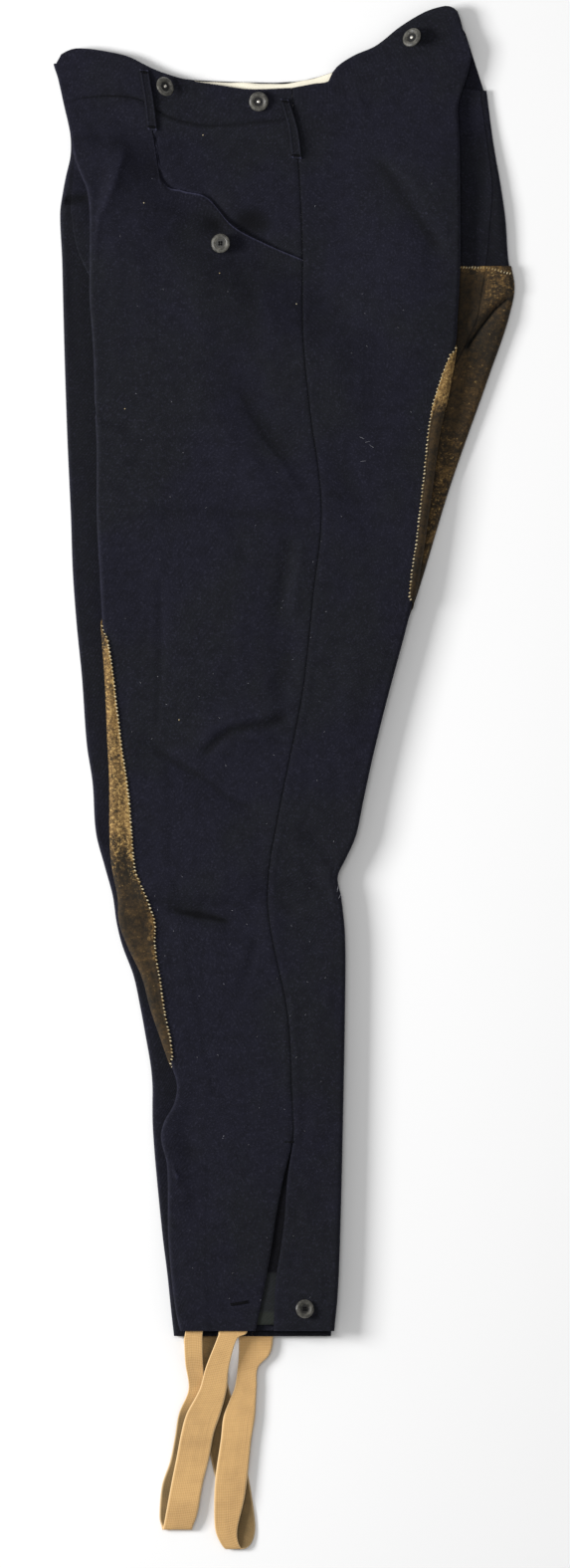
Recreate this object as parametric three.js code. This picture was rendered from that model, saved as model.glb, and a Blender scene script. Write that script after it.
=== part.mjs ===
// Wool riding breeches laid flat on their right side, left leg on top, waist towards +Y.
import * as THREE from 'three';

// Material thicknesses and clearances, millimetres
const CLOTH = 1.6;
const LEATHER = 1.2;
const LINING = 1;
const TAPE = 1.2;
const SEAM_GAP = 0.4;
const LAY_GAP = 0.35;

// Overall placing: tables count millimetres across from the front edge and down from the back peak
const OVERALL_WIDTH = 378.6;
const OVERALL_LENGTH = 1272.4;
const MID_ACROSS = OVERALL_WIDTH / 2 - 0.5;
const MID_DOWN = OVERALL_LENGTH / 2;

// Levels of the pile: a fold between two sheets, and the turn of the cloth between the legs
const LEG_FOLD = 3.5;
const LEG_TURN = 2.2;
const WAIST_FOLD = 2.2;
const WAIST_TURN = 1.7;
const WAIST_END = 70;
const PELVIS_START = 150;
const LEAST_RUN = 0.8;

// The crotch: above it each side runs to its centre seam, below it to the inside leg seam
const CROTCH = 336;
const HEM_NEAR = 1091;
const HEM_FAR = 1096;

// Front edge of the pile: near fold, far fold, centre seam, hidden tuck, and how far the tuck has formed
const FRONT_FOLDS = [
  { down: 34, near: 1, far: 1, seam: 14, tuck: 26, formed: 0 },
  { down: 46, near: -0.5, far: -0.5, seam: 14, tuck: 26, formed: 0 },
  { down: 59, near: 3.3, far: 3.3, seam: 14, tuck: 26, formed: 0 },
  { down: 81, near: 8.2, far: 8.2, seam: 14, tuck: 26, formed: 0 },
  { down: 103, near: 13.1, far: 13.1, seam: 15, tuck: 26, formed: 0 },
  { down: 122, near: 16.4, far: 13.6, seam: 17, tuck: 26, formed: 0.6 },
  { down: 140, near: 22.5, far: 9.7, seam: 16, tuck: 30, formed: 1 },
  { down: 151, near: 27.1, far: 7.6, seam: 15, tuck: 38, formed: 1 },
  { down: 170, near: 29.5, far: 5, seam: 14, tuck: 54, formed: 1 },
  { down: 208, near: 29.5, far: 6.6, seam: 22, tuck: 92, formed: 1 },
  { down: 241, near: 29.5, far: 7.4, seam: 46, tuck: 136, formed: 1 },
  { down: 272, near: 31.8, far: 8.2, seam: 104, tuck: 184, formed: 1 },
  { down: 300, near: 33.2, far: 9, seam: 182, tuck: 230, formed: 1 },
  { down: 327, near: 33.7, far: 9.9, seam: 278.5, tuck: 279.5, formed: 1 },
  { down: 362, near: 35.3, far: 11.2, seam: 278.5, tuck: 279.5, formed: 1 },
  { down: 421, near: 35.5, far: 13.9, seam: 278.5, tuck: 279.5, formed: 1 },
  { down: 465, near: 37.7, far: 15.4, seam: 278.5, tuck: 279.5, formed: 1 },
  { down: 509, near: 40.2, far: 18.6, seam: 278.5, tuck: 279.5, formed: 1 },
  { down: 553, near: 43.5, far: 23, seam: 278.5, tuck: 279.5, formed: 1 },
  { down: 608, near: 45.9, far: 27, seam: 278.5, tuck: 279.5, formed: 1 },
  { down: 640, near: 47.4, far: 31.8, seam: 278.5, tuck: 279.5, formed: 1 },
  { down: 681, near: 47.6, far: 34.6, seam: 278.5, tuck: 279.5, formed: 1 },
  { down: 708, near: 49.2, far: 41.6, seam: 278.5, tuck: 279.5, formed: 1 },
  { down: 733, near: 54.1, far: 48.4, seam: 278.5, tuck: 279.5, formed: 1 },
  { down: 755, near: 55.4, far: 51.6, seam: 278.5, tuck: 279.5, formed: 1 },
  { down: 774, near: 62.3, far: 56.3, seam: 278.5, tuck: 279.5, formed: 1 },
  { down: 799, near: 74, far: 65.6, seam: 278.5, tuck: 279.5, formed: 1 },
  { down: 826, near: 81.2, far: 71.4, seam: 278.5, tuck: 279.5, formed: 1 },
  { down: 850, near: 89.4, far: 75.8, seam: 278.5, tuck: 279.5, formed: 1 },
  { down: 872, near: 96.8, far: 79.6, seam: 278.5, tuck: 279.5, formed: 1 },
  { down: 889, near: 101.5, far: 81.2, seam: 278.5, tuck: 279.5, formed: 1 },
  { down: 905, near: 98.8, far: 81.2, seam: 278.5, tuck: 279.5, formed: 1 },
  { down: 918, near: 91.4, far: 81.3, seam: 278.5, tuck: 279.5, formed: 1 },
  { down: 932, near: 88.4, far: 82, seam: 278.5, tuck: 279.5, formed: 1 },
  { down: 955, near: 93.4, far: 83.8, seam: 278.5, tuck: 279.5, formed: 1 },
  { down: 1012, near: 94.3, far: 89.4, seam: 278.5, tuck: 279.5, formed: 1 },
  { down: 1045, near: 96.8, far: 93.5, seam: 278.5, tuck: 279.5, formed: 1 },
  { down: 1077, near: 100.9, far: 96.8, seam: 278.5, tuck: 279.5, formed: 1 },
  { down: 1096, near: 105.6, far: 99, seam: 278.5, tuck: 279.5, formed: 1 },
];

// Back edge of the pile, with the same columns
const BACK_FOLDS = [
  { down: 0, near: 351, far: 356, seam: 351, tuck: 344, formed: 1 },
  { down: 36, near: 345.2, far: 352, seam: 346.5, tuck: 339, formed: 1 },
  { down: 52, near: 342.2, far: 354.5, seam: 349.5, tuck: 334, formed: 1 },
  { down: 69, near: 337, far: 357, seam: 352, tuck: 330, formed: 1 },
  { down: 82, near: 333.4, far: 358.6, seam: 353.6, tuck: 327, formed: 1 },
  { down: 112, near: 334.6, far: 362.6, seam: 357.8, tuck: 323, formed: 1 },
  { down: 148, near: 335, far: 368.8, seam: 362, tuck: 320, formed: 1 },
  { down: 175, near: 335.3, far: 372.6, seam: 360.4, tuck: 318, formed: 1 },
  { down: 208, near: 335.4, far: 374.9, seam: 357.4, tuck: 315, formed: 1 },
  { down: 232, near: 334.4, far: 378.6, seam: 353.6, tuck: 312, formed: 1 },
  { down: 256, near: 333, far: 373.8, seam: 349.5, tuck: 308, formed: 1 },
  { down: 274, near: 332, far: 368.2, seam: 341, tuck: 304, formed: 1 },
  { down: 298, near: 328.4, far: 359.6, seam: 328, tuck: 299, formed: 1 },
  { down: 327, near: 323, far: 349.4, seam: 289.5, tuck: 288.5, formed: 1 },
  { down: 349, near: 317.6, far: 341.4, seam: 289.5, tuck: 288.5, formed: 1 },
  { down: 389, near: 312, far: 327.4, seam: 289.5, tuck: 288.5, formed: 1 },
  { down: 421, near: 307.5, far: 317.3, seam: 289.5, tuck: 288.5, formed: 1 },
  { down: 454, near: 302.6, far: 307.6, seam: 289.5, tuck: 288.5, formed: 1 },
  { down: 487, near: 296.8, far: 297.4, seam: 289.5, tuck: 288.5, formed: 1 },
  { down: 520, near: 288.6, far: 285.4, seam: 289.5, tuck: 288.5, formed: 1 },
  { down: 569, near: 275.4, far: 272.4, seam: 289.5, tuck: 288.5, formed: 1 },
  { down: 618, near: 263.2, far: 260.4, seam: 289.5, tuck: 288.5, formed: 1 },
  { down: 655, near: 255.2, far: 252, seam: 289.5, tuck: 288.5, formed: 1 },
  { down: 684, near: 249, far: 245.6, seam: 289.5, tuck: 288.5, formed: 1 },
  { down: 702, near: 241, far: 238, seam: 289.5, tuck: 288.5, formed: 1 },
  { down: 717, near: 234.2, far: 231.4, seam: 289.5, tuck: 288.5, formed: 1 },
  { down: 735, near: 237.2, far: 234.2, seam: 289.5, tuck: 288.5, formed: 1 },
  { down: 766, near: 240.2, far: 237, seam: 289.5, tuck: 288.5, formed: 1 },
  { down: 815, near: 240.3, far: 237.4, seam: 289.5, tuck: 288.5, formed: 1 },
  { down: 913, near: 238.6, far: 235.6, seam: 289.5, tuck: 288.5, formed: 1 },
  { down: 1012, near: 236.2, far: 233.2, seam: 289.5, tuck: 288.5, formed: 1 },
  { down: 1060, near: 234.2, far: 231.2, seam: 289.5, tuck: 288.5, formed: 1 },
  { down: 1096, near: 230.8, far: 228.6, seam: 289.5, tuck: 288.5, formed: 1 },
];

// Side seam on top, split by the calf slit, and the inside leg seam in the hidden layers
const SEAM_LINES = [
  { down: 34, front: 194, back: 194, inside: 284 },
  { down: 66, front: 196, back: 196, inside: 284 },
  { down: 93, front: 198.4, back: 198.4, inside: 284 },
  { down: 126, front: 201.7, back: 201.7, inside: 284 },
  { down: 192, front: 205, back: 205, inside: 284 },
  { down: 274, front: 205.8, back: 205.8, inside: 284 },
  { down: 342, front: 212.4, back: 212.4, inside: 284 },
  { down: 375, front: 217.4, back: 217.4, inside: 276 },
  { down: 408, front: 220.6, back: 220.6, inside: 266 },
  { down: 438, front: 219.8, back: 219.8, inside: 257 },
  { down: 481, front: 214.4, back: 214.4, inside: 243 },
  { down: 526, front: 210, back: 210, inside: 228 },
  { down: 563, front: 205.6, back: 205.6, inside: 217 },
  { down: 596, front: 199.6, back: 199.6, inside: 207 },
  { down: 640, front: 190.4, back: 190.4, inside: 195 },
  { down: 678, front: 183, back: 183, inside: 186 },
  { down: 703, front: 178.6, back: 178.6, inside: 181 },
  { down: 733, front: 176.3, back: 176.3, inside: 178 },
  { down: 755, front: 177.9, back: 177.9, inside: 177 },
  { down: 782, front: 183, back: 183, inside: 176 },
  { down: 815, front: 190.4, back: 190.4, inside: 175 },
  { down: 845, front: 194.3, back: 194.3, inside: 174 },
  { down: 891, front: 196.2, back: 196.2, inside: 172 },
  { down: 930, front: 197.2, back: 197.4, inside: 170 },
  { down: 965, front: 189.4, back: 192.6, inside: 168 },
  { down: 998, front: 183, back: 190.2, inside: 167 },
  { down: 1020, front: 180, back: 187.6, inside: 166 },
  { down: 1050, front: 174.6, back: 183, inside: 165 },
  { down: 1096, front: 165.4, back: 181, inside: 164 },
];

// Edge of the leather on the outer side of the near leg, measured in from each fold
const STRAP_EDGES = [
  { down: 0, front: 14, back: 14 },
  { down: 240, front: 14, back: 12 },
  { down: 278, front: 14, back: 6 },
  { down: 301, front: 14, back: 7 },
  { down: 328, front: 14, back: 10 },
  { down: 349, front: 14, back: 8.5 },
  { down: 390, front: 13, back: 7 },
  { down: 466, front: 8, back: 5.5 },
  { down: 509, front: 5.5, back: 8 },
  { down: 553, front: 6, back: 11 },
  { down: 608, front: 10, back: 13 },
  { down: 655, front: 14.8, back: 14 },
  { down: 685, front: 17, back: 14 },
  { down: 715, front: 18, back: 13 },
  { down: 733, front: 22, back: 12 },
  { down: 755, front: 28, back: 12 },
  { down: 772, front: 22, back: 12 },
  { down: 796, front: 14, back: 12 },
  { down: 826, front: 10, back: 12 },
  { down: 850, front: 7, back: 12 },
  { down: 889, front: 5.5, back: 12 },
  { down: 930, front: 9, back: 12 },
  { down: 1096, front: 13, back: 12 },
];
const SEAT_TOP = 214;
const SEAT_WRAP = { from: 278, to: 470 };
const SEAT_STRAP_END = 850;
const KNEE_STRAP_TOP = 345;
const KNEE_WRAP = { from: 509, to: 890 };

// Top edges, by distance across
const NEAR_FRONT_TOP = [
  { across: -1, down: 47 },
  { across: 10, down: 41 },
  { across: 20, down: 35.3 },
  { across: 30, down: 34.4 },
  { across: 49, down: 36.9 },
  { across: 69, down: 41.8 },
  { across: 89, down: 52.5 },
  { across: 111, down: 60 },
  { across: 140, down: 65 },
  { across: 162, down: 68 },
  { across: 196, down: 67 },
];
const NEAR_BACK_TOP = [
  { across: 196, down: 67 },
  { across: 215, down: 63.4 },
  { across: 227, down: 61 },
  { across: 231, down: 52 },
  { across: 246, down: 41 },
  { across: 266, down: 32 },
  { across: 285, down: 17 },
  { across: 305, down: 5 },
  { across: 318, down: 0.6 },
  { across: 326, down: 0 },
  { across: 334, down: 5 },
  { across: 338, down: 15 },
  { across: 345, down: 36 },
];
const FAR_TOP = [
  { across: -1, down: 47 },
  { across: 10, down: 41.5 },
  { across: 30, down: 35.5 },
  { across: 69, down: 43 },
  { across: 98, down: 57 },
  { across: 125, down: 60.4 },
  { across: 177, down: 62.3 },
  { across: 197, down: 61.5 },
  { across: 217, down: 57.4 },
  { across: 239, down: 49.2 },
  { across: 262, down: 35.5 },
  { across: 285, down: 20.5 },
  { across: 305, down: 8 },
  { across: 324, down: 4 },
  { across: 340, down: 24 },
  { across: 353, down: 66 },
];
const CENTRE_BACK_TOP = 69;
const CENTRE_FRONT_TOP = 47;
const BAND_SEAM = [
  { across: 2, down: 82 },
  { across: 8, down: 81 },
  { across: 21, down: 76.3 },
  { across: 33, down: 74.6 },
  { across: 54, down: 74 },
  { across: 71, down: 77 },
  { across: 87, down: 87.6 },
  { across: 104, down: 94.3 },
  { across: 128, down: 98.4 },
  { across: 154, down: 96.8 },
  { across: 180, down: 94.3 },
  { across: 200, down: 92.6 },
];
const BAND_SEAM_AT_FOLD = 81;
const POCKET_MOUTH = [
  { across: 60, down: 70 },
  { across: 71, down: 77 },
  { across: 79, down: 100 },
  { across: 88.6, down: 141.9 },
  { across: 105.8, down: 151.7 },
  { across: 126.3, down: 157.4 },
  { across: 146.8, down: 180.4 },
  { across: 173.8, down: 195.2 },
  { across: 206, down: 208.8 },
];

// Rows of the panels below their top edges, and where the bend of the top rows has faded out
const LOWER_ROWS = [
  150, 182, 214, 246, 278, 304, 327, 345, 390, 430, 470, 509, 553, 600, 640, 685, 702, 717, 735,
  755, 775, 800, 826, 850, 872, 890, 905, 918, 932, 955, 1000, 1045,
];
const BACK_ROWS = [0, 22, 46, 72, 98, 124, ...LOWER_ROWS];
const FRONT_ROWS = [81, 103, 114, 125, ...LOWER_ROWS];
const BACK_BEND_END = 150;
const FRONT_BEND_END = 304;

// Resting height of the top sheet over the middle of the pelvis, where only two layers lie
const MIDDLE_HEIGHT = 7.2;
const SAG_SIDE = 8;
const SAG_SLOPE = 48;

// Width along each edge over which the folds of the top sheet fade out
const FOLD_MARGIN = 22;

// Largest folds of the top sheet: soft ridges (height above 0) and troughs (below 0)
const FOLDS = [
  { across: 54, down: 124, toAcross: 31, toDown: 190, width: 12, height: 2.4 },
  { across: 62, down: 108, toAcross: 112, toDown: 186, width: 20, height: -2 },
  { across: 52, down: 205, toAcross: 118, toDown: 224, width: 18, height: 2.2 },
  { across: 268, down: 134, toAcross: 322, toDown: 206, width: 14, height: -2.4 },
  { across: 150, down: 296, toAcross: 204, toDown: 380, width: 17, height: -2.4 },
  { across: 128, down: 330, toAcross: 178, toDown: 404, width: 16, height: 2 },
  { across: 216, down: 340, toAcross: 262, toDown: 424, width: 17, height: -2 },
  { across: 150, down: 420, toAcross: 216, toDown: 426, width: 13, height: -2.2 },
  { across: 186, down: 462, toAcross: 192, toDown: 580, width: 13, height: -1.8 },
  { across: 190, down: 582, toAcross: 134, toDown: 604, width: 15, height: 2.6 },
  { across: 84, down: 612, toAcross: 160, toDown: 660, width: 15, height: -2.2 },
  { across: 84, down: 728, toAcross: 156, toDown: 724, width: 14, height: 2.8 },
  { across: 84, down: 748, toAcross: 158, toDown: 750, width: 13, height: -3 },
  { across: 198, down: 738, toAcross: 230, toDown: 718, width: 13, height: -2 },
  { across: 104, down: 912, toAcross: 118, toDown: 985, width: 13, height: -2 },
];

// Calf slit
const UNDERLAP = { top: 926, bottom: 1086, front: 158, back: 197, drop: 2.5, thickness: 1 };

// Belt loops, as centre lines on the top sheet
const LOOP_WIDTH = 7.6;
const LOOP_THICKNESS = 1.8;
const BELT_LOOPS = [
  { name: 'belt_loop_front', fromAcross: 73.8, fromDown: 52, toAcross: 80.8, toDown: 102.5 },
  { name: 'belt_loop_rear', fromAcross: 191.1, fromDown: 76.3, toAcross: 200.1, toDown: 125 },
];

// Dished horn buttons; the flat of the underside and the height of its edge are shares
const BUTTON = { radius: 8.2, thickness: 3, rim: 1.5, dish: 0.9, flat: 0.72, side: 0.42 };
const BUTTONS = [
  { name: 'brace_button_front', across: 91, down: 67 },
  { name: 'brace_button_side', across: 168.9, down: 78.5 },
  { name: 'brace_button_back', across: 296, down: 27 },
  { name: 'pocket_button', across: 137.8, down: 196 },
  { name: 'calf_button', across: 206.6, down: 1072.6 },
];

// Stirrup tapes: edges across and height of the outer face, down the upper run and back up the lower one
const LEFT_TAPE = [
  { down: 1064, left: 137, right: 163, height: 14.8 },
  { down: 1091, left: 136, right: 160, height: 14.8 },
  { down: 1098, left: 134.5, right: 151, height: 14.4 },
  { down: 1121, left: 125.5, right: 144.5, height: 11.4 },
  { down: 1140, left: 120, right: 142.5, height: 9.2 },
  { down: 1160, left: 109.5, right: 137.4, height: 7.2 },
  { down: 1176, left: 105, right: 132, height: 6.6 },
  { down: 1197, left: 101, right: 128, height: 6.2 },
  { down: 1218, left: 96.8, right: 122.8, height: 6 },
  { down: 1241, left: 92.6, right: 118.8, height: 6 },
  { down: 1252, left: 90.6, right: 115, height: 5.2 },
  { down: 1256, left: 89.6, right: 113.6, height: 3 },
  { down: 1253, left: 88.6, right: 112.8, height: 1 },
  { down: 1244, left: 87, right: 113, height: 0 },
  { down: 1220, left: 89, right: 116, height: 0 },
  { down: 1200, left: 95.6, right: 122, height: 0.4 },
  { down: 1180, left: 99.6, right: 124, height: 2 },
  { down: 1160, left: 103, right: 124, height: 2.6 },
  { down: 1140, left: 111, right: 124.6, height: 4.2 },
  { down: 1118, left: 108.4, right: 123, height: 8.4 },
  { down: 1100, left: 107.6, right: 122.6, height: 12.2 },
  { down: 1091, left: 108.6, right: 123, height: 13.3 },
  { down: 1064, left: 112, right: 126, height: 13.4 },
];
const RIGHT_TAPE = [
  { down: 1066, left: 152.6, right: 181, height: 5 },
  { down: 1096, left: 152.6, right: 181, height: 5 },
  { down: 1111, left: 152.4, right: 178, height: 5 },
  { down: 1122, left: 151.6, right: 168.4, height: 5.2 },
  { down: 1138, left: 149.2, right: 167.2, height: 5.4 },
  { down: 1150, left: 144.4, right: 166.6, height: 5.4 },
  { down: 1163, left: 139.8, right: 165.8, height: 5.6 },
  { down: 1182, left: 137.6, right: 162.8, height: 5.8 },
  { down: 1211, left: 133.4, right: 159.8, height: 5.8 },
  { down: 1231, left: 132.2, right: 157, height: 6 },
  { down: 1254, left: 132.8, right: 151.6, height: 6 },
  { down: 1266, left: 137, right: 152, height: 5.2 },
  { down: 1272, left: 142, right: 156, height: 3 },
  { down: 1267, left: 145, right: 163, height: 1 },
  { down: 1254, left: 141, right: 166, height: 0 },
  { down: 1230, left: 137.6, right: 163.4, height: 0 },
  { down: 1205, left: 131, right: 159, height: 0 },
  { down: 1176, left: 125.4, right: 153, height: 0 },
  { down: 1150, left: 119, right: 147, height: 0 },
  { down: 1122, left: 112, right: 140, height: 0 },
  { down: 1104, left: 107.6, right: 136.4, height: 0.6 },
  { down: 1096, left: 107, right: 136, height: 2 },
  { down: 1066, left: 107, right: 136, height: 2.1 },
];

// Steps along each part of a section
const STEPS = { seamRun: 1, turn: 4, tuckRun: 2, fold: 5, top: 9, floor: 5 };
const FAR_RUN = [0.15, 0.5, 1];

const clamp = THREE.MathUtils.clamp;
const lerp = THREE.MathUtils.lerp;
const smooth = (value) => THREE.MathUtils.smoothstep(value, 0, 1);

// Reads a column of a table at a place between its rows, along a smooth curve
function read(table, column, place, axis = 'down') {
  const last = table.length - 1;
  const next = clamp(table.findIndex((row) => row[axis] > place), 1, last);
  const index = place >= table[last][axis] ? last : next;
  const [x0, x1] = [table[index - 1][axis], table[index][axis]];
  const part = clamp((place - x0) / (x1 - x0), 0, 1);
  const slope = (row) => {
    const [before, after] = [table[Math.max(row - 1, 0)], table[Math.min(row + 1, last)]];
    return (after[column] - before[column]) / (after[axis] - before[axis]);
  };
  const [v0, v1] = [table[index - 1][column], table[index][column]];
  const [m0, m1] = [slope(index - 1) * (x1 - x0), slope(index) * (x1 - x0)];
  const back = 1 - part;
  return v0 * (1 + 2 * part) * back * back + m0 * part * back * back
    + v1 * part * part * (3 - 2 * part) - m1 * part * part * back;
}

// Follows straight runs and round turns from a start, and gives every corner point on the way
function follow(start, runs) {
  let { out, up, heading } = start;
  const points = [{ out, up }];
  for (const { length, turn, steps } of runs) {
    const half = turn / steps / 2;
    const chord = half === 0 ? length / steps : (length / turn) * 2 * Math.sin(half);
    for (let step = 0; step < steps; step++) {
      heading += half;
      out += Math.cos(heading) * chord;
      up += Math.sin(heading) * chord;
      heading += half;
      points.push({ out, up });
    }
  }
  return { points, heading };
}

// One edge of the pile at a height down: the far sheet from the floor, then the near sheet to the top
function edgeSection(folds, sign, down) {
  const pelvis = down < CROTCH;
  const formed = pelvis ? clamp(read(folds, 'formed', down), 0, 1) : 1;
  const depth = smooth((down - WAIST_END) / (PELVIS_START - WAIST_END));
  const fold = lerp(WAIST_FOLD, LEG_FOLD, depth);
  const bend = lerp(WAIST_TURN, LEG_TURN, depth);
  const place = (column) => sign * read(folds, column, down);
  const foldTurn = (Math.PI / 2) * (1 + formed);
  const foldRun = { length: fold * foldTurn, turn: foldTurn, steps: STEPS.fold };
  const farStart = { out: place('far') - fold, up: 0, heading: 0 };
  const far = follow(farStart, [foldRun]);
  const { out: farOut, up: farUp } = far.points[STEPS.fold];
  const inside = sign * read(SEAM_LINES, 'inside', down);
  const seam = pelvis ? place('seam') : inside;
  const tuck = place('tuck');
  const farLength = pelvis ? lerp(LEAST_RUN, farOut - seam, formed) : farOut - seam;
  const gap = SEAM_GAP * (1 + 6 * formed * (1 - formed));
  const farReach = Math.max(LEAST_RUN, farLength) - gap / 2;
  for (const share of FAR_RUN) {
    far.points.push({
      out: farOut + Math.cos(far.heading) * farReach * share,
      up: farUp + Math.sin(far.heading) * farReach * share,
    });
  }
  const turnLength = bend * Math.PI;
  let near;
  if (pelvis) {
    const start = {
      out: farOut + Math.cos(far.heading) * (farReach + gap),
      up: farUp + Math.sin(far.heading) * (farReach + gap),
      heading: far.heading,
    };
    const seamRun = lerp(LEAST_RUN, Math.max(LEAST_RUN, seam - tuck), formed) - gap / 2;
    const tuckRun = lerp(LEAST_RUN, Math.max(LEAST_RUN, place('near') - fold - tuck), formed);
    near = follow(start, [
      { length: seamRun, turn: 0, steps: STEPS.seamRun },
      { length: Math.max(LEAST_RUN, turnLength * formed), turn: -Math.PI * formed, steps: STEPS.turn },
      { length: tuckRun, turn: 0, steps: STEPS.tuckRun },
      foldRun,
    ]);
  } else {
    const start = { out: inside + SEAM_GAP / 2, up: 2 * fold + 2 * bend, heading: 0 };
    const run = place('near') - fold - start.out - LEAST_RUN - turnLength;
    near = follow(start, [
      { length: LEAST_RUN, turn: 0, steps: STEPS.seamRun },
      { length: turnLength, turn: 0, steps: STEPS.turn },
      { length: run, turn: 0, steps: STEPS.tuckRun },
      foldRun,
    ]);
  }
  const reach = Math.max(...near.points.slice(-STEPS.fold - 1).map((point) => point.out));
  const [low, high] = [near.points[0].up, near.points.at(-1).up];
  const lean = place('near') - reach;
  for (const point of near.points) {
    point.out += pelvis ? lean * clamp((point.up - low) / (high - low), 0, 1) : 0;
  }
  const across = ({ out, up }) => ({ across: sign * out, up });
  return { far: far.points.map(across), near: near.points.map(across), tuck: sign * tuck };
}

const sectionStore = new Map();

// Both edges of the pile at a height down
function section(down) {
  const key = down.toFixed(3);
  if (!sectionStore.has(key)) {
    const front = edgeSection(FRONT_FOLDS, -1, down);
    const back = edgeSection(BACK_FOLDS, 1, down);
    sectionStore.set(key, { front, back });
  }
  return sectionStore.get(key);
}

// Height of one soft fold at a point, highest along its centre line and fading at its ends
function foldHeight(fold, across, down) {
  const [runX, runY] = [fold.toAcross - fold.across, fold.toDown - fold.down];
  const [x, y] = [across - fold.across, down - fold.down];
  const part = clamp((x * runX + y * runY) / (runX * runX + runY * runY), 0, 1);
  const away = Math.hypot(x - runX * part, y - runY * part) / fold.width;
  return fold.height * Math.exp(-away * away);
}

// Height of the outer face of the top sheet
function topHeight(across, down) {
  const { front, back } = section(down);
  const [start, end] = [front.near.at(-1), back.near.at(-1)];
  const part = clamp((across - start.across) / (end.across - start.across), 0, 1);
  const edge = lerp(start.up, end.up, part);
  const fromFront = smooth((across - front.tuck - SAG_SIDE) / SAG_SLOPE);
  const fromBack = smooth((back.tuck - SAG_SIDE - across) / SAG_SLOPE);
  const overHollow = down < CROTCH ? fromFront * fromBack : 0;
  const sag = (edge - MIDDLE_HEIGHT) * overHollow;
  const away = Math.min(across - start.across, end.across - across);
  const free = smooth(away / FOLD_MARGIN);
  let folds = 0;
  for (const fold of FOLDS) folds += foldHeight(fold, across, down);
  return edge - sag + folds * free;
}

const point = (across, down, up) => new THREE.Vector3(across - MID_ACROSS, MID_DOWN - down, up);

// Sheet of a panel on the near side, from its hidden seam out round the fold and in to the side seam
function nearPoint(side, column, down) {
  const edge = section(down)[side];
  if (column < edge.near.length) return edge.near[column];
  const sign = side === 'front' ? 1 : -1;
  const start = edge.near.at(-1).across;
  const seam = read(SEAM_LINES, side, down) - (sign * SEAM_GAP) / 2;
  const fold = read(side === 'front' ? FRONT_FOLDS : BACK_FOLDS, 'near', down);
  const stitch = Math.max(1.6, read(STRAP_EDGES, side, down) - Math.abs(start - fold));
  const step = column - edge.near.length;
  const first = start + sign * stitch;
  const across = lerp(first, seam, step / (STEPS.top - 1));
  return { across, up: topHeight(across, down) };
}

// Sheet of a panel on the far side, from its side seam on the floor out round the fold and in
function farPoint(side, column, down) {
  const edge = section(down)[side];
  if (column >= STEPS.floor) return edge.far[column - STEPS.floor];
  const sign = side === 'front' ? 1 : -1;
  const seam = (read(SEAM_LINES, 'front', down) + read(SEAM_LINES, 'back', down)) / 2;
  const part = column / STEPS.floor;
  return { across: lerp(seam - (sign * SEAM_GAP) / 2, edge.far[0].across, part), up: 0 };
}

const NEAR_FOLD_END = STEPS.seamRun + STEPS.turn + STEPS.tuckRun + STEPS.fold;
const NEAR_COLUMNS = NEAR_FOLD_END + 1 + STEPS.top;
const FAR_COLUMNS = STEPS.floor + STEPS.fold + FAR_RUN.length + 1;

// Grid of points of a panel; its top rows are bent to follow the top edge and fade out below
function panelGrid({ at, side, columns, rows, bendEnd, topOf, last }) {
  const first = rows[0];
  const tops = Array.from({ length: columns }, (_, column) => topOf(column));
  return [...rows, last].map((row) => tops.map((top, column) => {
    const part = (row - first) / (bendEnd - first);
    const down = row < bendEnd ? lerp(top, bendEnd, part) : row;
    const { across, up } = at(side, column, down);
    return point(across, down, up);
  }));
}

// Outward unit vectors of a panel, square to its section at each height down
function sectionOutwards(grid, sign) {
  return grid.map((line) => line.map((_, j) => {
    const [left, right] = [line[Math.max(j - 1, 0)], line[Math.min(j + 1, line.length - 1)]];
    return new THREE.Vector3(right.z - left.z, 0, left.x - right.x).multiplyScalar(sign).normalize();
  }));
}

// Outward unit vectors of a grid, from the directions along its rows and columns
function gridOutwards(grid, sign) {
  const [rows, columns] = [grid.length, grid[0].length];
  return grid.map((line, i) => line.map((_, j) => {
    const [left, right] = [line[Math.max(j - 1, 0)], line[Math.min(j + 1, columns - 1)]];
    const [above, below] = [grid[Math.max(i - 1, 0)][j], grid[Math.min(i + 1, rows - 1)][j]];
    const along = new THREE.Vector3().subVectors(right, left).normalize();
    const across = new THREE.Vector3().subVectors(below, above).normalize();
    return along.cross(across).multiplyScalar(sign).normalize();
  }));
}

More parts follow.
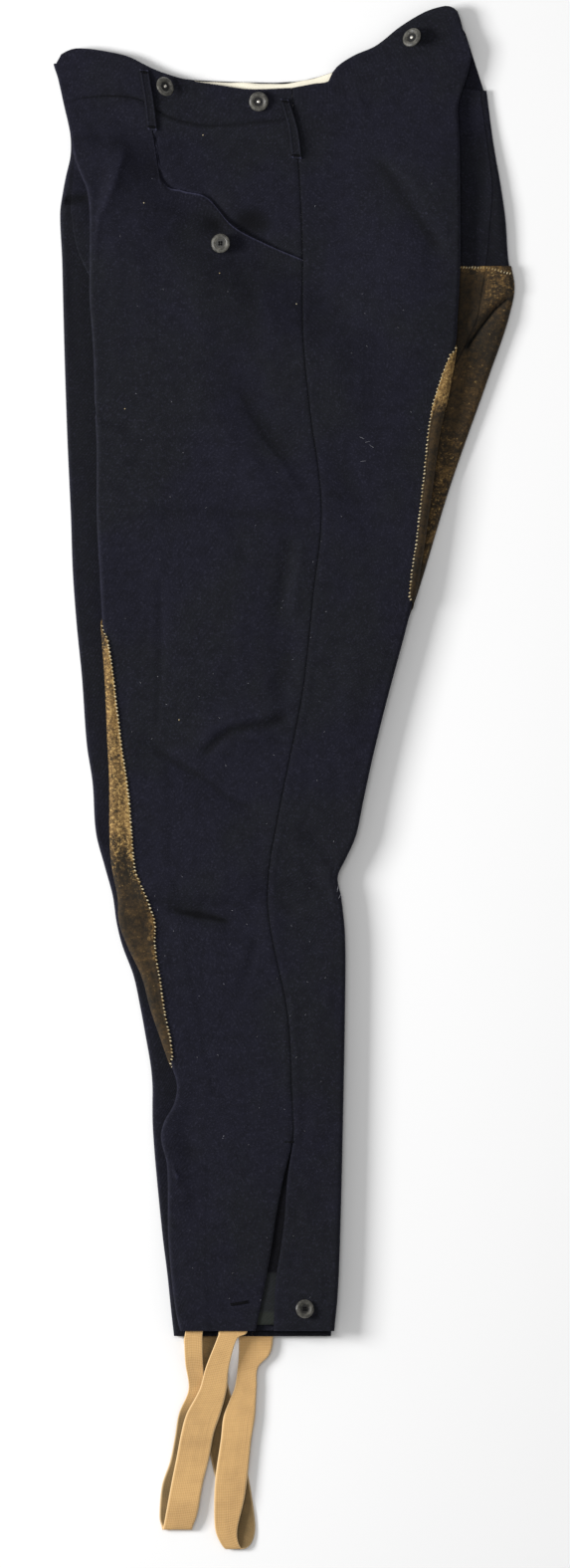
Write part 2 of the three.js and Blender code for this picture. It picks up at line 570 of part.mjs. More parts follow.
// Closed wall over the kept cells of a grid, between two distances out from it
function wall(grid, sign, inner, outer, { keep = () => true, outwards = sectionOutwards } = {}) {
  const [rows, columns] = [grid.length, grid[0].length];
  const normals = outwards(grid, sign);
  const positions = [];
  for (const distance of [outer, inner]) {
    grid.forEach((line, i) => line.forEach((place, j) => {
      positions.push(...place.clone().addScaledVector(normals[i][j], distance).toArray());
    }));
  }
  const at = (i, j) => i * columns + j;
  const under = rows * columns;
  const kept = (i, j) => i >= 0 && j >= 0 && i < rows - 1 && j < columns - 1 && keep(i, j);
  const faces = [];
  const quad = (a, b, c, d) => faces.push(...(sign > 0 ? [a, b, c, a, c, d] : [a, c, b, a, d, c]));
  for (let i = 0; i < rows - 1; i++) {
    for (let j = 0; j < columns - 1; j++) {
      if (!kept(i, j)) continue;
      const [a, b, c, d] = [at(i, j), at(i, j + 1), at(i + 1, j + 1), at(i + 1, j)];
      quad(a, b, c, d);
      quad(c + under, b + under, a + under, d + under);
      if (!kept(i - 1, j)) quad(b, a, a + under, b + under);
      if (!kept(i, j + 1)) quad(c, b, b + under, c + under);
      if (!kept(i + 1, j)) quad(d, c, c + under, d + under);
      if (!kept(i, j - 1)) quad(a, d, d + under, a + under);
    }
  }
  const used = new Map();
  const packed = [];
  const index = faces.map((vertex) => {
    if (!used.has(vertex)) {
      used.set(vertex, used.size);
      packed.push(...positions.slice(vertex * 3, vertex * 3 + 3));
    }
    return used.get(vertex);
  });
  const geometry = new THREE.BufferGeometry();
  geometry.setAttribute('position', new THREE.Float32BufferAttribute(packed, 3));
  geometry.setIndex(index);
  geometry.computeVertexNormals();
  return geometry;
}

const FINISHES = {
  cloth: { color: 0x22222c, roughness: 0.95, metalness: 0 },
  leather: { color: 0x4a3a24, roughness: 0.8, metalness: 0 },
  lining: { color: 0xf4e9cf, roughness: 0.85, metalness: 0 },
  tape: { color: 0xcaa472, roughness: 0.85, metalness: 0 },
  horn: { color: 0x35322f, roughness: 0.35, metalness: 0 },
};

const breeches = new THREE.Group();

function addPiece(name, finish, geometry) {
  const mesh = new THREE.Mesh(geometry, new THREE.MeshStandardMaterial(FINISHES[finish]));
  mesh.name = name;
  breeches.add(mesh);
}

const acrossOf = (at, side, column, down) => at(side, column, down).across;

// Height of the uppermost cloth at a place
function faceHeight(across, down) {
  const { x, y } = point(across, down, 0);
  const ray = new THREE.Raycaster(new THREE.Vector3(x, y, 100), new THREE.Vector3(0, 0, -1));
  const hits = ray.intersectObjects(breeches.children, false);
  return hits.length > 0 ? hits[0].point.z : 0;
}

// Near leg panels
const MOUTH_START = 71;
const frontTop = (column) => {
  if (column <= NEAR_FOLD_END) return BAND_SEAM_AT_FOLD + SEAM_GAP / 2;
  const rough = acrossOf(nearPoint, 'front', column, FRONT_ROWS[1]);
  const down = read(POCKET_MOUTH, 'down', rough, 'across');
  const settled = acrossOf(nearPoint, 'front', column, down);
  const edge = settled < MOUTH_START ? BAND_SEAM : POCKET_MOUTH;
  return read(edge, 'down', settled, 'across') + SEAM_GAP / 2;
};
const backTop = (column) => {
  if (column <= NEAR_FOLD_END) {
    return lerp(CENTRE_BACK_TOP, 36, column / NEAR_FOLD_END);
  }
  const rough = acrossOf(nearPoint, 'back', column, 40);
  const down = read(NEAR_BACK_TOP, 'down', rough, 'across');
  return read(NEAR_BACK_TOP, 'down', acrossOf(nearPoint, 'back', column, down), 'across');
};
const leftFront = panelGrid({
  at: nearPoint, side: 'front', columns: NEAR_COLUMNS, rows: FRONT_ROWS,
  bendEnd: FRONT_BEND_END, topOf: frontTop, last: HEM_NEAR,
});
const leftBack = panelGrid({
  at: nearPoint, side: 'back', columns: NEAR_COLUMNS, rows: BACK_ROWS,
  bendEnd: BACK_BEND_END, topOf: backTop, last: HEM_NEAR,
});
addPiece('left_front', 'cloth', wall(leftFront, -1, -CLOTH, 0));
addPiece('left_back', 'cloth', wall(leftBack, 1, -CLOTH, 0));

// Far leg panels
const farFrontTop = (column) => {
  if (column >= STEPS.floor) return BAND_SEAM_AT_FOLD + SEAM_GAP / 2;
  const across = acrossOf(farPoint, 'front', column, 90);
  return read(BAND_SEAM, 'down', across, 'across') + SEAM_GAP / 2;
};
const farBackTop = (column) => {
  if (column >= STEPS.floor) return CENTRE_BACK_TOP;
  const across = acrossOf(farPoint, 'back', column, 40);
  return read(FAR_TOP, 'down', across, 'across');
};
const rightFront = panelGrid({
  at: farPoint, side: 'front', columns: FAR_COLUMNS, rows: FRONT_ROWS,
  bendEnd: FRONT_BEND_END, topOf: farFrontTop, last: HEM_FAR,
});
const rightBack = panelGrid({
  at: farPoint, side: 'back', columns: FAR_COLUMNS, rows: BACK_ROWS,
  bendEnd: BACK_BEND_END, topOf: farBackTop, last: HEM_FAR,
});
addPiece('right_front', 'cloth', wall(rightFront, -1, -CLOTH, 0));
addPiece('right_back', 'cloth', wall(rightBack, 1, -CLOTH, 0));

// Front waistbands, from the top edge to the band seam
function bandGrid({ at, columns, foldFrom, foldTo, topEdge }) {
  return [0, 0.34, 0.67, 1].map((part) => Array.from({ length: columns }, (_, column) => {
    const onFold = column >= foldFrom && column <= foldTo;
    const reach = acrossOf(at, 'front', column, 75);
    const top = onFold ? CENTRE_FRONT_TOP : read(topEdge, 'down', reach, 'across');
    const seam = onFold ? BAND_SEAM_AT_FOLD : read(BAND_SEAM, 'down', reach, 'across');
    const down = lerp(top, seam - SEAM_GAP / 2, part);
    const { across, up } = at('front', column, down);
    return point(across, down, up);
  }));
}
const leftBand = bandGrid({
  at: nearPoint, columns: NEAR_COLUMNS, foldFrom: 0, foldTo: NEAR_FOLD_END, topEdge: NEAR_FRONT_TOP,
});
const rightBand = bandGrid({
  at: farPoint, columns: FAR_COLUMNS, foldFrom: STEPS.floor, foldTo: FAR_COLUMNS, topEdge: FAR_TOP,
});
addPiece('left_waistband', 'cloth', wall(leftBand, -1, -CLOTH, 0));
addPiece('right_waistband', 'cloth', wall(rightBand, -1, -CLOTH, 0));

// Facing of the far waist, where it shows above the near edge
const FACING = { from: 116, to: 232, inset: 0.8, depth: 34, columns: 11 };
const liningGrid = [0, 0.5, 1].map((part) => Array.from({ length: FACING.columns }, (_, column) => {
  const across = lerp(FACING.from, FACING.to, column / (FACING.columns - 1));
  const down = read(FAR_TOP, 'down', across, 'across') + FACING.inset + FACING.depth * part;
  return point(across, down, CLOTH + LAY_GAP);
}));
addPiece('waist_lining', 'lining', wall(liningGrid, -1, 0, LINING));

// Pocket side piece, tucked under the mouth of the pocket
const POCKET = {
  first: 68, last: 201, rows: 8, columns: 9, leastMouth: 120, tuck: 20,
  drop: 4, floor: 2 * CLOTH + 0.4, dropStart: 42, dropRun: 24, underFront: 106, underRun: 12,
};
const pocketGrid = Array.from({ length: POCKET.rows }, (_, row) => (
  Array.from({ length: POCKET.columns }, (_, column) => {
    const part = column / (POCKET.columns - 1);
    const guess = lerp(POCKET.first, POCKET.last, part);
    const seamDown = read(BAND_SEAM, 'down', guess, 'across') + SEAM_GAP * 2;
    const mouth = Math.max(POCKET.leastMouth, read(POCKET_MOUTH, 'down', guess, 'across'));
    const down = lerp(seamDown, mouth + POCKET.tuck, row / (POCKET.rows - 1));
    const across = lerp(POCKET.first, read(SEAM_LINES, 'front', down) - SEAM_GAP / 2, part);
    const nearMouth = smooth((down - mouth + POCKET.dropStart) / POCKET.dropRun);
    const underFront = smooth((POCKET.underFront - across) / POCKET.underRun);
    const drop = POCKET.drop * Math.max(nearMouth, underFront);
    return point(across, down, Math.max(POCKET.floor, topHeight(across, down) - drop));
  })
));
addPiece('left_pocket', 'cloth', wall(pocketGrid, -1, -CLOTH, 0));

// Underlap of the calf slit
const underlapGrid = [0, 0.25, 0.5, 0.75, 1].map((part) => {
  const down = lerp(UNDERLAP.top, UNDERLAP.bottom, part);
  return [0, 1 / 3, 2 / 3, 1].map((share) => {
    const across = lerp(UNDERLAP.front, UNDERLAP.back, share);
    return point(across, down, topHeight(across, down) - UNDERLAP.drop);
  });
});
addPiece('left_underlap', 'cloth', wall(underlapGrid, -1, -UNDERLAP.thickness, 0));

// Leather strappings, laid on the panels' own points
const rowAt = (rows, down) => rows.findIndex((row) => row >= down);
const tuckEnd = STEPS.seamRun + STEPS.turn + STEPS.tuckRun;
const strap = (name, grid, sign, keep) => {
  addPiece(name, 'leather', wall(grid, sign, LAY_GAP, LAY_GAP + LEATHER, { keep }));
};
const wrapped = (rows, { from, to }, i) => i >= rowAt(rows, from) && i < rowAt(rows, to);
const nearStrap = (rows, wrap, j, i) => j < (wrapped(rows, wrap, i) ? NEAR_FOLD_END + 1 : tuckEnd);
const turnEnd = STEPS.seamRun + STEPS.turn;
const crotchRow = rowAt(BACK_ROWS, CROTCH) - 1;
const onSeat = (i) => i >= rowAt(BACK_ROWS, SEAT_TOP) && i < rowAt(BACK_ROWS, SEAT_STRAP_END);
const onKnee = (i) => i >= rowAt(FRONT_ROWS, KNEE_STRAP_TOP) && i < rowAt(FRONT_ROWS, KNEE_WRAP.to);
strap('left_seat_strapping', leftBack, 1, (i, j) => (
  onSeat(i) && nearStrap(BACK_ROWS, SEAT_WRAP, j, i) && !(i === crotchRow && j < turnEnd)
));
strap('left_knee_strapping', leftFront, -1, (i, j) => onKnee(i) && nearStrap(FRONT_ROWS, KNEE_WRAP, j, i));
strap('right_seat_strapping', rightBack, 1, (i, j) => onSeat(i) && j >= STEPS.floor + 2);
strap('right_knee_strapping', rightFront, -1, (i, j) => onKnee(i) && j > STEPS.floor + STEPS.fold);

// Belt loops, a little above the top sheet
for (const { name, fromAcross, fromDown, toAcross, toDown } of BELT_LOOPS) {
  const grid = Array.from({ length: 10 }, (_, row) => [-0.5, 0, 0.5].map((side) => {
    const part = row / 9;
    const down = lerp(fromDown, toDown, part);
    const across = lerp(fromAcross, toAcross, part) + side * LOOP_WIDTH;
    const faces = [-5, 0, 5].map((offset) => faceHeight(across, down + offset));
    return point(across, down, Math.max(topHeight(across, down), ...faces) + LAY_GAP);
  }));
  addPiece(name, 'cloth', wall(grid, -1, 0, LOOP_THICKNESS));
}

// Buttons: a dished disc with a domed underside, seated square on the cloth
const BUTTON_SIDES = 18;
const buttonBase = BUTTON.radius * BUTTON.flat;
const buttonSide = BUTTON.thickness * BUTTON.side;
const buttonDish = BUTTON.thickness - BUTTON.dish;
const buttonProfile = [
  [0, 0],
  [buttonBase, 0],
  [BUTTON.radius, buttonSide],
  [BUTTON.radius * 0.98, BUTTON.thickness * 0.75],
  [BUTTON.radius - BUTTON.rim * 0.7, BUTTON.thickness],
  [BUTTON.radius - BUTTON.rim * 1.7, BUTTON.thickness - BUTTON.dish * 0.8],
  [BUTTON.radius * 0.3, buttonDish],
  [0, buttonDish],
].map(([radius, height]) => new THREE.Vector2(radius, height));
for (const { name, across, down } of BUTTONS) {
  const height = (x, y) => faceHeight(across + x, down + y);
  const reach = BUTTON.radius;
  const slopeX = (height(reach, 0) - height(-reach, 0)) / (2 * reach);
  const slopeY = (height(0, -reach) - height(0, reach)) / (2 * reach);
  const up = new THREE.Vector3(-slopeX, -slopeY, 1).normalize();
  const middle = height(0, 0);
  let lift = 0;
  for (const share of [0.25, 0.5, BUTTON.flat, 0.85, 1]) {
    const rise = buttonSide * clamp((share - BUTTON.flat) / (1 - BUTTON.flat), 0, 1);
    for (let step = 0; step < 2 * BUTTON_SIDES; step++) {
      const angle = (step / BUTTON_SIDES) * Math.PI;
      const [x, y] = [Math.cos(angle) * reach * share, Math.sin(angle) * reach * share];
      lift = Math.max(lift, height(x, -y) - middle - slopeX * x - slopeY * y - rise);
    }
  }
  const geometry = new THREE.LatheGeometry(buttonProfile, BUTTON_SIDES);
  geometry.applyQuaternion(new THREE.Quaternion().setFromUnitVectors(new THREE.Vector3(0, 1, 0), up));
  const base = point(across, down, middle).addScaledVector(up, lift + LAY_GAP);
  geometry.translate(base.x, base.y, base.z);
  addPiece(name, 'horn', geometry);
}

// Stirrup tapes
const tapeGrid = (rows) => rows.map(({ down, left, right, height }) => [0, 0.5, 1].map((part) => (
  point(lerp(left, right, part), down, height)
)));
const tapeWall = (rows) => wall(tapeGrid(rows), -1, -TAPE, 0, { outwards: gridOutwards });
addPiece('left_stirrup_tape', 'tape', tapeWall(LEFT_TAPE));
addPiece('right_stirrup_tape', 'tape', tapeWall(RIGHT_TAPE));

export default breeches;
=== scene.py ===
"""Wool riding breeches laid flat on their right side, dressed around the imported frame.

Tables hold millimetres: across from the front edge of the pile, down from the back peak of the
waist, and up from the surface that the garment lies on. They become metres where a mesh is made.
"""

import logging
import math
from dataclasses import dataclass, field
from enum import Enum

import bpy
import numpy as np
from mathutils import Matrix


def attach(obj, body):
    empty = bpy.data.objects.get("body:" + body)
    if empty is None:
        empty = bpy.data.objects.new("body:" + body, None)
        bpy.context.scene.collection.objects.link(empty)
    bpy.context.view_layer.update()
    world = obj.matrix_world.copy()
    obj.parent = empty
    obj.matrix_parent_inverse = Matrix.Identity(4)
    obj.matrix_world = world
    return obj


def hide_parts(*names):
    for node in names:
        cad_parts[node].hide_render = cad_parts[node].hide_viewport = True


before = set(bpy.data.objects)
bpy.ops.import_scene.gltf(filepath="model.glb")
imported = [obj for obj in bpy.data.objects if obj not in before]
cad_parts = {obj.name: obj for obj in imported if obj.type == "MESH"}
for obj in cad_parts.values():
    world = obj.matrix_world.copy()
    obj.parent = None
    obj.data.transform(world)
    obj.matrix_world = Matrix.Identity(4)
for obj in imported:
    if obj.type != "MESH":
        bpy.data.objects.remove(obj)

Array = np.ndarray
log = logging.getLogger("breeches")

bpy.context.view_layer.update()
MILLIMETRE = 0.001
MID_ACROSS = 188.8
MID_DOWN = 636.2
CLOTH = 1.6
LEATHER = 1.2
LINING = 1.0
TAPE = 1.2
SEAM_GAP = 0.1
LAY_GAP = 0.35
ROW_STEP = 2.7


class Side(Enum):
    """The two edges of the pile; the value is the way from the edge to the middle."""

    FRONT = 1
    BACK = -1


class Leg(Enum):
    """The leg on top and the leg on the floor."""

    NEAR = "near"
    FAR = "far"


@dataclass(frozen=True)
class Table:
    """Named columns of sizes along one direction, read along a smooth curve."""

    columns: tuple[str, ...]
    rows: tuple[tuple[float, ...], ...]

    def read(self, column: str, place: Array) -> Array:
        """Cubic Hermite curve through the rows, each slope being that of its two neighbours.

        Args:
            column: name of the column to read.
            place: positions along the first column.

        Returns:
            The column's value at each position, held level past the ends.
        """
        data = np.array(self.rows, float)
        x, v = data[:, 0], data[:, self.columns.index(column)]
        slope = np.gradient(v, x)
        slope[1:-1] = (v[2:] - v[:-2]) / (x[2:] - x[:-2])
        i = np.clip(np.searchsorted(x, place, side="right") - 1, 0, len(x) - 2)
        width = x[i + 1] - x[i]
        t = np.clip((place - x[i]) / width, 0, 1)
        back = 1 - t
        start = v[i] * (1 + 2 * t) * back**2 + slope[i] * width * t * back**2
        return start + v[i + 1] * t**2 * (3 - 2 * t) - slope[i + 1] * width * t**2 * back


def smooth(value: Array) -> Array:
    """Smooth step from 0 to 1: 3 t squared less 2 t cubed, with t held between 0 and 1."""
    t = np.clip(value, 0, 1)
    return t * t * (3 - 2 * t)


def lerp(start: Array, end: Array, part: Array) -> Array:
    """Straight blend from start to end."""
    return start + (end - start) * part


def bell(distance: Array, width: Array) -> Array:
    """The number e to the minus square of a distance in widths."""
    return np.exp(-((distance / width) ** 2))


def at(across: Array, down: Array, up: Array) -> Array:
    """Points in the frame's axes, in millimetres."""
    return np.stack([across - MID_ACROSS, MID_DOWN - down, up], axis=-1)


def fold_table(pelvis: tuple, leg: tuple, hidden: tuple) -> Table:
    """Folds of one edge, row by row down the pile.

    Args:
        pelvis: rows of down, near fold, far fold, centre seam, tuck and how far the tuck formed.
        leg: rows of down, near fold and far fold below the crotch.
        hidden: the last three columns of every row below the crotch.

    Returns:
        The table of all rows.
    """
    rows = pelvis + tuple((*row, *hidden) for row in leg)
    return Table(("down", "near", "far", "seam", "tuck", "formed"), rows)


FRONT_FOLDS = fold_table((
    (34, 1, 1, 14, 26, 0), (46, -0.5, -0.5, 14, 26, 0), (59, 3.3, 3.3, 14, 26, 0),
    (81, 8.2, 8.2, 14, 26, 0), (103, 13.1, 13.1, 15, 26, 0), (122, 16.4, 13.6, 17, 26, 0.6),
    (140, 22.5, 9.7, 16, 30, 1), (151, 27.1, 7.6, 15, 38, 1), (170, 29.5, 5, 14, 54, 1),
    (208, 29.5, 6.6, 22, 92, 1), (241, 29.5, 7.4, 46, 136, 1), (272, 31.8, 8.2, 104, 184, 1),
    (300, 33.2, 9, 182, 230, 1),
), (
    (327, 33.7, 9.9), (362, 35.3, 11.2), (421, 35.5, 13.9), (465, 37.7, 15.4), (509, 40.2, 18.6),
    (553, 43.5, 23), (608, 45.9, 27), (640, 47.4, 31.8), (681, 47.6, 34.6), (708, 49.2, 41.6),
    (733, 54.1, 48.4), (755, 55.4, 51.6), (774, 62.3, 56.3), (799, 74, 65.6), (826, 81.2, 71.4),
    (850, 89.4, 75.8), (872, 96.8, 79.6), (889, 101.5, 81.2), (905, 98.8, 81.2),
    (918, 91.4, 81.3), (932, 88.4, 82), (955, 93.4, 83.8), (1012, 94.3, 89.4), (1045, 96.8, 93.5),
    (1077, 100.9, 96.8), (1096, 105.6, 99),
), (278.5, 279.5, 1))
BACK_FOLDS = fold_table((
    (0, 351, 356, 351, 344, 1), (36, 345.2, 352, 346.5, 339, 1),
    (52, 342.2, 354.5, 349.5, 334, 1), (69, 337, 357, 352, 330, 1),
    (82, 333.4, 358.6, 353.6, 327, 1), (112, 334.6, 362.6, 357.8, 323, 1),
    (148, 335, 368.8, 362, 320, 1), (175, 335.3, 372.6, 360.4, 318, 1),
    (208, 335.4, 374.9, 357.4, 315, 1), (232, 334.4, 378.6, 353.6, 312, 1),
    (256, 333, 373.8, 349.5, 308, 1), (274, 332, 368.2, 341, 304, 1),
    (298, 328.4, 359.6, 328, 299, 1),
), (
    (327, 323, 349.4), (349, 317.6, 341.4), (389, 312, 327.4), (421, 307.5, 317.3),
    (454, 302.6, 307.6), (487, 296.8, 297.4), (520, 288.6, 285.4), (569, 275.4, 272.4),
    (618, 263.2, 260.4), (655, 255.2, 252), (684, 249, 245.6), (702, 241, 238),
    (717, 234.2, 231.4), (735, 237.2, 234.2), (766, 240.2, 237), (815, 240.3, 237.4),
    (913, 238.6, 235.6), (1012, 236.2, 233.2), (1060, 234.2, 231.2), (1096, 230.8, 228.6),
), (289.5, 288.5, 1))
SEAM_LINES = Table(("down", "front", "back", "inside"), (
    (34, 194, 194, 284), (66, 196, 196, 284), (93, 198.4, 198.4, 284), (126, 201.7, 201.7, 284),
    (192, 205, 205, 284), (274, 205.8, 205.8, 284), (342, 212.4, 212.4, 284),
    (375, 217.4, 217.4, 276), (408, 220.6, 220.6, 266), (438, 219.8, 219.8, 257),
    (481, 214.4, 214.4, 243), (526, 210, 210, 228), (563, 205.6, 205.6, 217),
    (596, 199.6, 199.6, 207), (640, 190.4, 190.4, 195), (678, 183, 183, 186),
    (703, 178.6, 178.6, 181), (733, 176.3, 176.3, 178), (755, 177.9, 177.9, 177),
    (782, 183, 183, 176), (815, 190.4, 190.4, 175), (845, 194.3, 194.3, 174),
    (891, 196.2, 196.2, 172), (930, 197.2, 197.4, 170), (965, 189.4, 192.6, 168),
    (998, 183, 190.2, 167), (1020, 180, 187.6, 166), (1050, 174.6, 183, 165),
    (1096, 165.4, 181, 164),
))
STRAP_EDGES = Table(("down", "front", "back"), (
    (0, 36, 14), (81, 36, 13.3), (103, 31, 13.1), (122, 28, 13), (140, 22, 12.8),
    (151, 17, 12.7), (170, 14.5, 12.6), (240, 14, 12), (278, 14, 6), (301, 14, 7), (328, 14, 10),
    (349, 14, 8.5),
    (390, 13, 7), (466, 8, 5.5), (509, 5.5, 8), (553, 6, 11), (608, 10, 13), (655, 14.8, 14),
    (685, 17, 14), (715, 18, 13), (733, 22, 12), (755, 28, 12), (772, 22, 12), (796, 14, 12),
    (826, 10, 12), (850, 7, 12), (889, 5.5, 12), (930, 9, 12), (1096, 13, 12),
))
TOP_COLUMNS = ("across", "down")
NEAR_FRONT_TOP = Table(TOP_COLUMNS, (
    (-1, 47), (10, 41), (20, 35.3), (30, 34.4), (49, 36.9), (69, 41.8), (89, 52.5), (111, 60),
    (140, 65), (162, 68), (196, 67),
))
NEAR_BACK_TOP = Table(TOP_COLUMNS, (
    (196, 67), (215, 63.4), (227, 61), (231, 52), (246, 41), (266, 32), (285, 17), (305, 5),
    (318, 0.6), (326, 0), (334, 5), (338, 15), (345, 36),
))
FAR_TOP = Table(TOP_COLUMNS, (
    (-1, 47), (10, 41.5), (30, 35.5), (69, 43), (98, 57), (125, 60.4), (177, 62.3), (197, 61.5),
    (217, 57.4), (239, 49.2), (262, 35.5), (285, 20.5), (305, 8), (324, 4), (340, 24), (353, 66),
))
BAND_SEAM = Table(TOP_COLUMNS, (
    (2, 82), (8, 81), (21, 76.3), (33, 74.6), (54, 74), (71, 77), (87, 87.6), (104, 94.3),
    (128, 98.4), (154, 96.8), (180, 94.3), (200, 92.6),
))
POCKET_MOUTH = Table(TOP_COLUMNS, (
    (60, 70), (75, 79.3), (81, 100), (88.6, 141.9), (105.8, 151.7), (126.3, 157.4), (146.8, 180.4),
    (173.8, 195.2), (206, 208.8),
))
MOUTH_START = 75
BAND_SEAM_AT_FOLD = 81
CENTRE_BACK_TOP = 69
CENTRE_FRONT_TOP = 47
FRONT_TOP = 81
FRONT_BEND_END = 304
BACK_BEND_END = 150
CROTCH = 336
HEM_NEAR = 1091
HEM_FAR = 1096
SLIT_HEAD = 928
RING_MARK = (119.7, 1018.4)
RING_RADIUS = 4.3
# Middle of a soft spot of painted shade on the near front panel.
PANEL_SHADE_SPOT = (136, 180)
POCKET_START = 66.0
POCKET_PIT = (164, 177)
SEAT_TOP = 214
SEAT_END = 850
KNEE_TOP = 345
KNEE_END = 890


@dataclass(frozen=True)
class Crease:
    """A soft ridge (height above 0) or trough (below 0) along a line of points across and down."""

    line: tuple[tuple[float, float], ...]
    width: float
    height: float

    def raise_at(self, across: Array, down: Array) -> Array:
        """Height times a bell of the distance from the line, faded out at the line's two ends."""
        points = np.array(self.line, float)
        runs = np.hypot(*np.diff(points, axis=0).T)
        starts = np.concatenate([[0], np.cumsum(runs)])
        nearest = np.full(across.shape, np.inf)
        along = np.zeros(across.shape)
        for start, end, run, before in zip(points[:-1], points[1:], runs, starts[:-1]):
            way = (end - start) / run
            x, y = across - start[0], down - start[1]
            share = np.clip(x * way[0] + y * way[1], 0, run)
            away = np.hypot(x - way[0] * share, y - way[1] * share)
            along = np.where(away < nearest, before + share, along)
            nearest = np.minimum(nearest, away)
        fade = min(3.2 * self.width, 0.45 * starts[-1])
        ends = smooth(along / fade) * smooth((starts[-1] - along) / fade)
        return self.height * bell(nearest, self.width) * ends


@dataclass(frozen=True)
class Fold:
    """One of the largest folds, with the form that the solids have."""

    across: float
    down: float
    to_across: float
    to_down: float
    width: float
    height: float

    def raise_at(self, across: Array, down: Array) -> Array:
        """Height times a bell of the distance from the segment."""
        run = np.array([self.to_across - self.across, self.to_down - self.down])
        x, y = across - self.across, down - self.down
        part = np.clip((x * run[0] + y * run[1]) / (run @ run), 0, 1)
        away = np.hypot(x - run[0] * part, y - run[1] * part)
        return self.height * bell(away, self.width)


